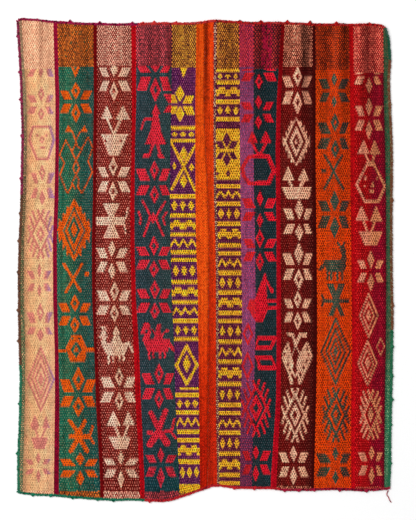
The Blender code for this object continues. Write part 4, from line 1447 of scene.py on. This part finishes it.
def edging_length(node, first, last, main, second, share, line, column, side, picots):
    """Copies the stitch along one length of the edging, and stacks it up at each knob."""
    turn = math.radians(SIDE_TURNS[side])
    across = side in ("top", "bottom")
    outwards = 1 if side in ("top", "right") else -1
    count = round((last - first) * MM / STITCH_PITCH)
    rng = np.random.default_rng(count)
    places = [(first + (last - first) * (k + 0.5) / count, rng.uniform(*STITCH_REACH), 1.0)
              for k in range(count)]
    for place, reach in picots:
        if first + KNOB_FROM_END < place < last - KNOB_FROM_END:
            places += [(place + aside, reach * part, size) for aside, part, size in KNOB_STITCHES]
    placed = []
    for place, reach, size in places:
        ahead = along(line, place + SLOPE_REACH, column)
        behind = along(line, place - SLOPE_REACH, column)
        slope = math.atan2(ahead - behind, 2.0 * SLOPE_REACH)
        angle = turn + (slope if across else -slope) + math.radians(rng.uniform(*STITCH_TURN))
        scale = size * rng.uniform(*STITCH_SIZE)
        edge = along(line, place, column) * MM
        middle = edge + outwards * (reach * MM - STITCH_STRETCH[0] * (STITCH_RING + STITCH_YARN))
        x, y = (place * MM, middle) if across else (middle, place * MM)
        c, s = math.cos(angle), math.sin(angle)
        loop = stitch_points * scale
        copy = np.empty_like(loop)
        copy[:, 0] = x + c * loop[:, 0] - s * loop[:, 1]
        copy[:, 1] = y + s * loop[:, 0] + c * loop[:, 1]
        copy[:, 2] = EDGING_RISE + loop[:, 2] + lift(np.array([x]), np.array([y]))[0]
        placed.append(copy)
    data = stitches_mesh(node + "_stitches", placed, stitch_faces)
    wool = wool_material(node + " wool", main, second, share, EDGING_PLIES)
    return finish_piece(node + "_stitches", data, wool, [node])


for lengths, line, column, side, picots in (
    (TOP_LENGTHS, TOP_LINE, 1, "top", TOP_PICOTS),
    (BOTTOM_LENGTHS, BOTTOM_LINE, 1, "bottom", BOTTOM_PICOTS),
    (LEFT_LENGTHS, SIDE_LINES, LEFT_SIDE, "left", LEFT_PICOTS),
    (RIGHT_LENGTHS, SIDE_LINES, RIGHT_SIDE, "right", RIGHT_PICOTS),
):
    for length in lengths:
        edging_length(*length, line, column, side, picots)

# Centre seam: orange wool overcast through both selvedges by hand, a slanting stitch every few
# millimetres, pulled down into the cloth.
SEAM_PITCH = 0.0052
SEAM_STITCH = (0.0015, 0.00065, 0.0005)
SEAM_LEAN = -38
SEAM_ENDS = (-0.484, 0.502)
SEAM_RISE = 0.0004
SEAM_ASIDE = 0.0002
SEAM_SIZE = (0.85, 1.1)
SEAM_COLOURS = ((214, 70, 20), (170, 34, 10))

bpy.ops.mesh.primitive_uv_sphere_add(segments=8, ring_count=5, radius=1.0)
seam_points, seam_faces = take_stitch(SEAM_STITCH, SEAM_LEAN)
seam_placed = []
seam_rng = np.random.default_rng(5)
for k in range(round((SEAM_ENDS[1] - SEAM_ENDS[0]) / SEAM_PITCH)):
    y = SEAM_ENDS[0] + (k + 0.5) * SEAM_PITCH
    x = along(SIDE_LINES, y / MM, SEAM_LINE) * MM + seam_rng.uniform(-SEAM_ASIDE, SEAM_ASIDE)
    height = CLOTH_THICKNESS * SELVEDGE_THINNING + lift(np.array([x]), np.array([y]))[0]
    middle = np.array((x, y, height + SEAM_RISE))
    seam_placed.append(seam_points * seam_rng.uniform(*SEAM_SIZE) + middle)
seam_data = stitches_mesh("seam_stitches", seam_placed, seam_faces)
seam_data.materials.append(wool_material("seam wool", *SEAM_COLOURS, share=0.35))
seam = bpy.data.objects.new("seam_stitches", seam_data)
bpy.context.scene.collection.objects.link(seam)
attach(seam, "root")

# Floor and light: a plain white table under soft studio light from the upper left
bpy.ops.mesh.primitive_plane_add(size=8.0, location=(0.0, 0.0, 0.0))
floor = bpy.context.active_object
floor.name = "floor"
floor_material = bpy.data.materials.new("floor paint")
floor_material.use_nodes = True
floor_shader = floor_material.node_tree.nodes["Principled BSDF"]
floor_shader.inputs["Base Color"].default_value = (0.92, 0.92, 0.92, 1.0)
floor_shader.inputs["Roughness"].default_value = 0.9
floor.data.materials.append(floor_material)

world = bpy.data.worlds.new("studio")
bpy.context.scene.world = world
world.use_nodes = True
world.node_tree.nodes["Background"].inputs["Color"].default_value = (1.0, 1.0, 1.0, 1.0)
world.node_tree.nodes["Background"].inputs["Strength"].default_value = 0.64

key_data = bpy.data.lights.new("key", "AREA")
key_data.energy = 264.0
key_data.size = 3.6
key = bpy.data.objects.new("key", key_data)
bpy.context.scene.collection.objects.link(key)
key.location = (-3.4, 1.6, 4.6)
key.rotation_euler = (Vector((0, 0, 0)) - key.location).to_track_quat("-Z", "Y").to_euler()
bpy.context.scene.view_settings.view_transform = "Standard"
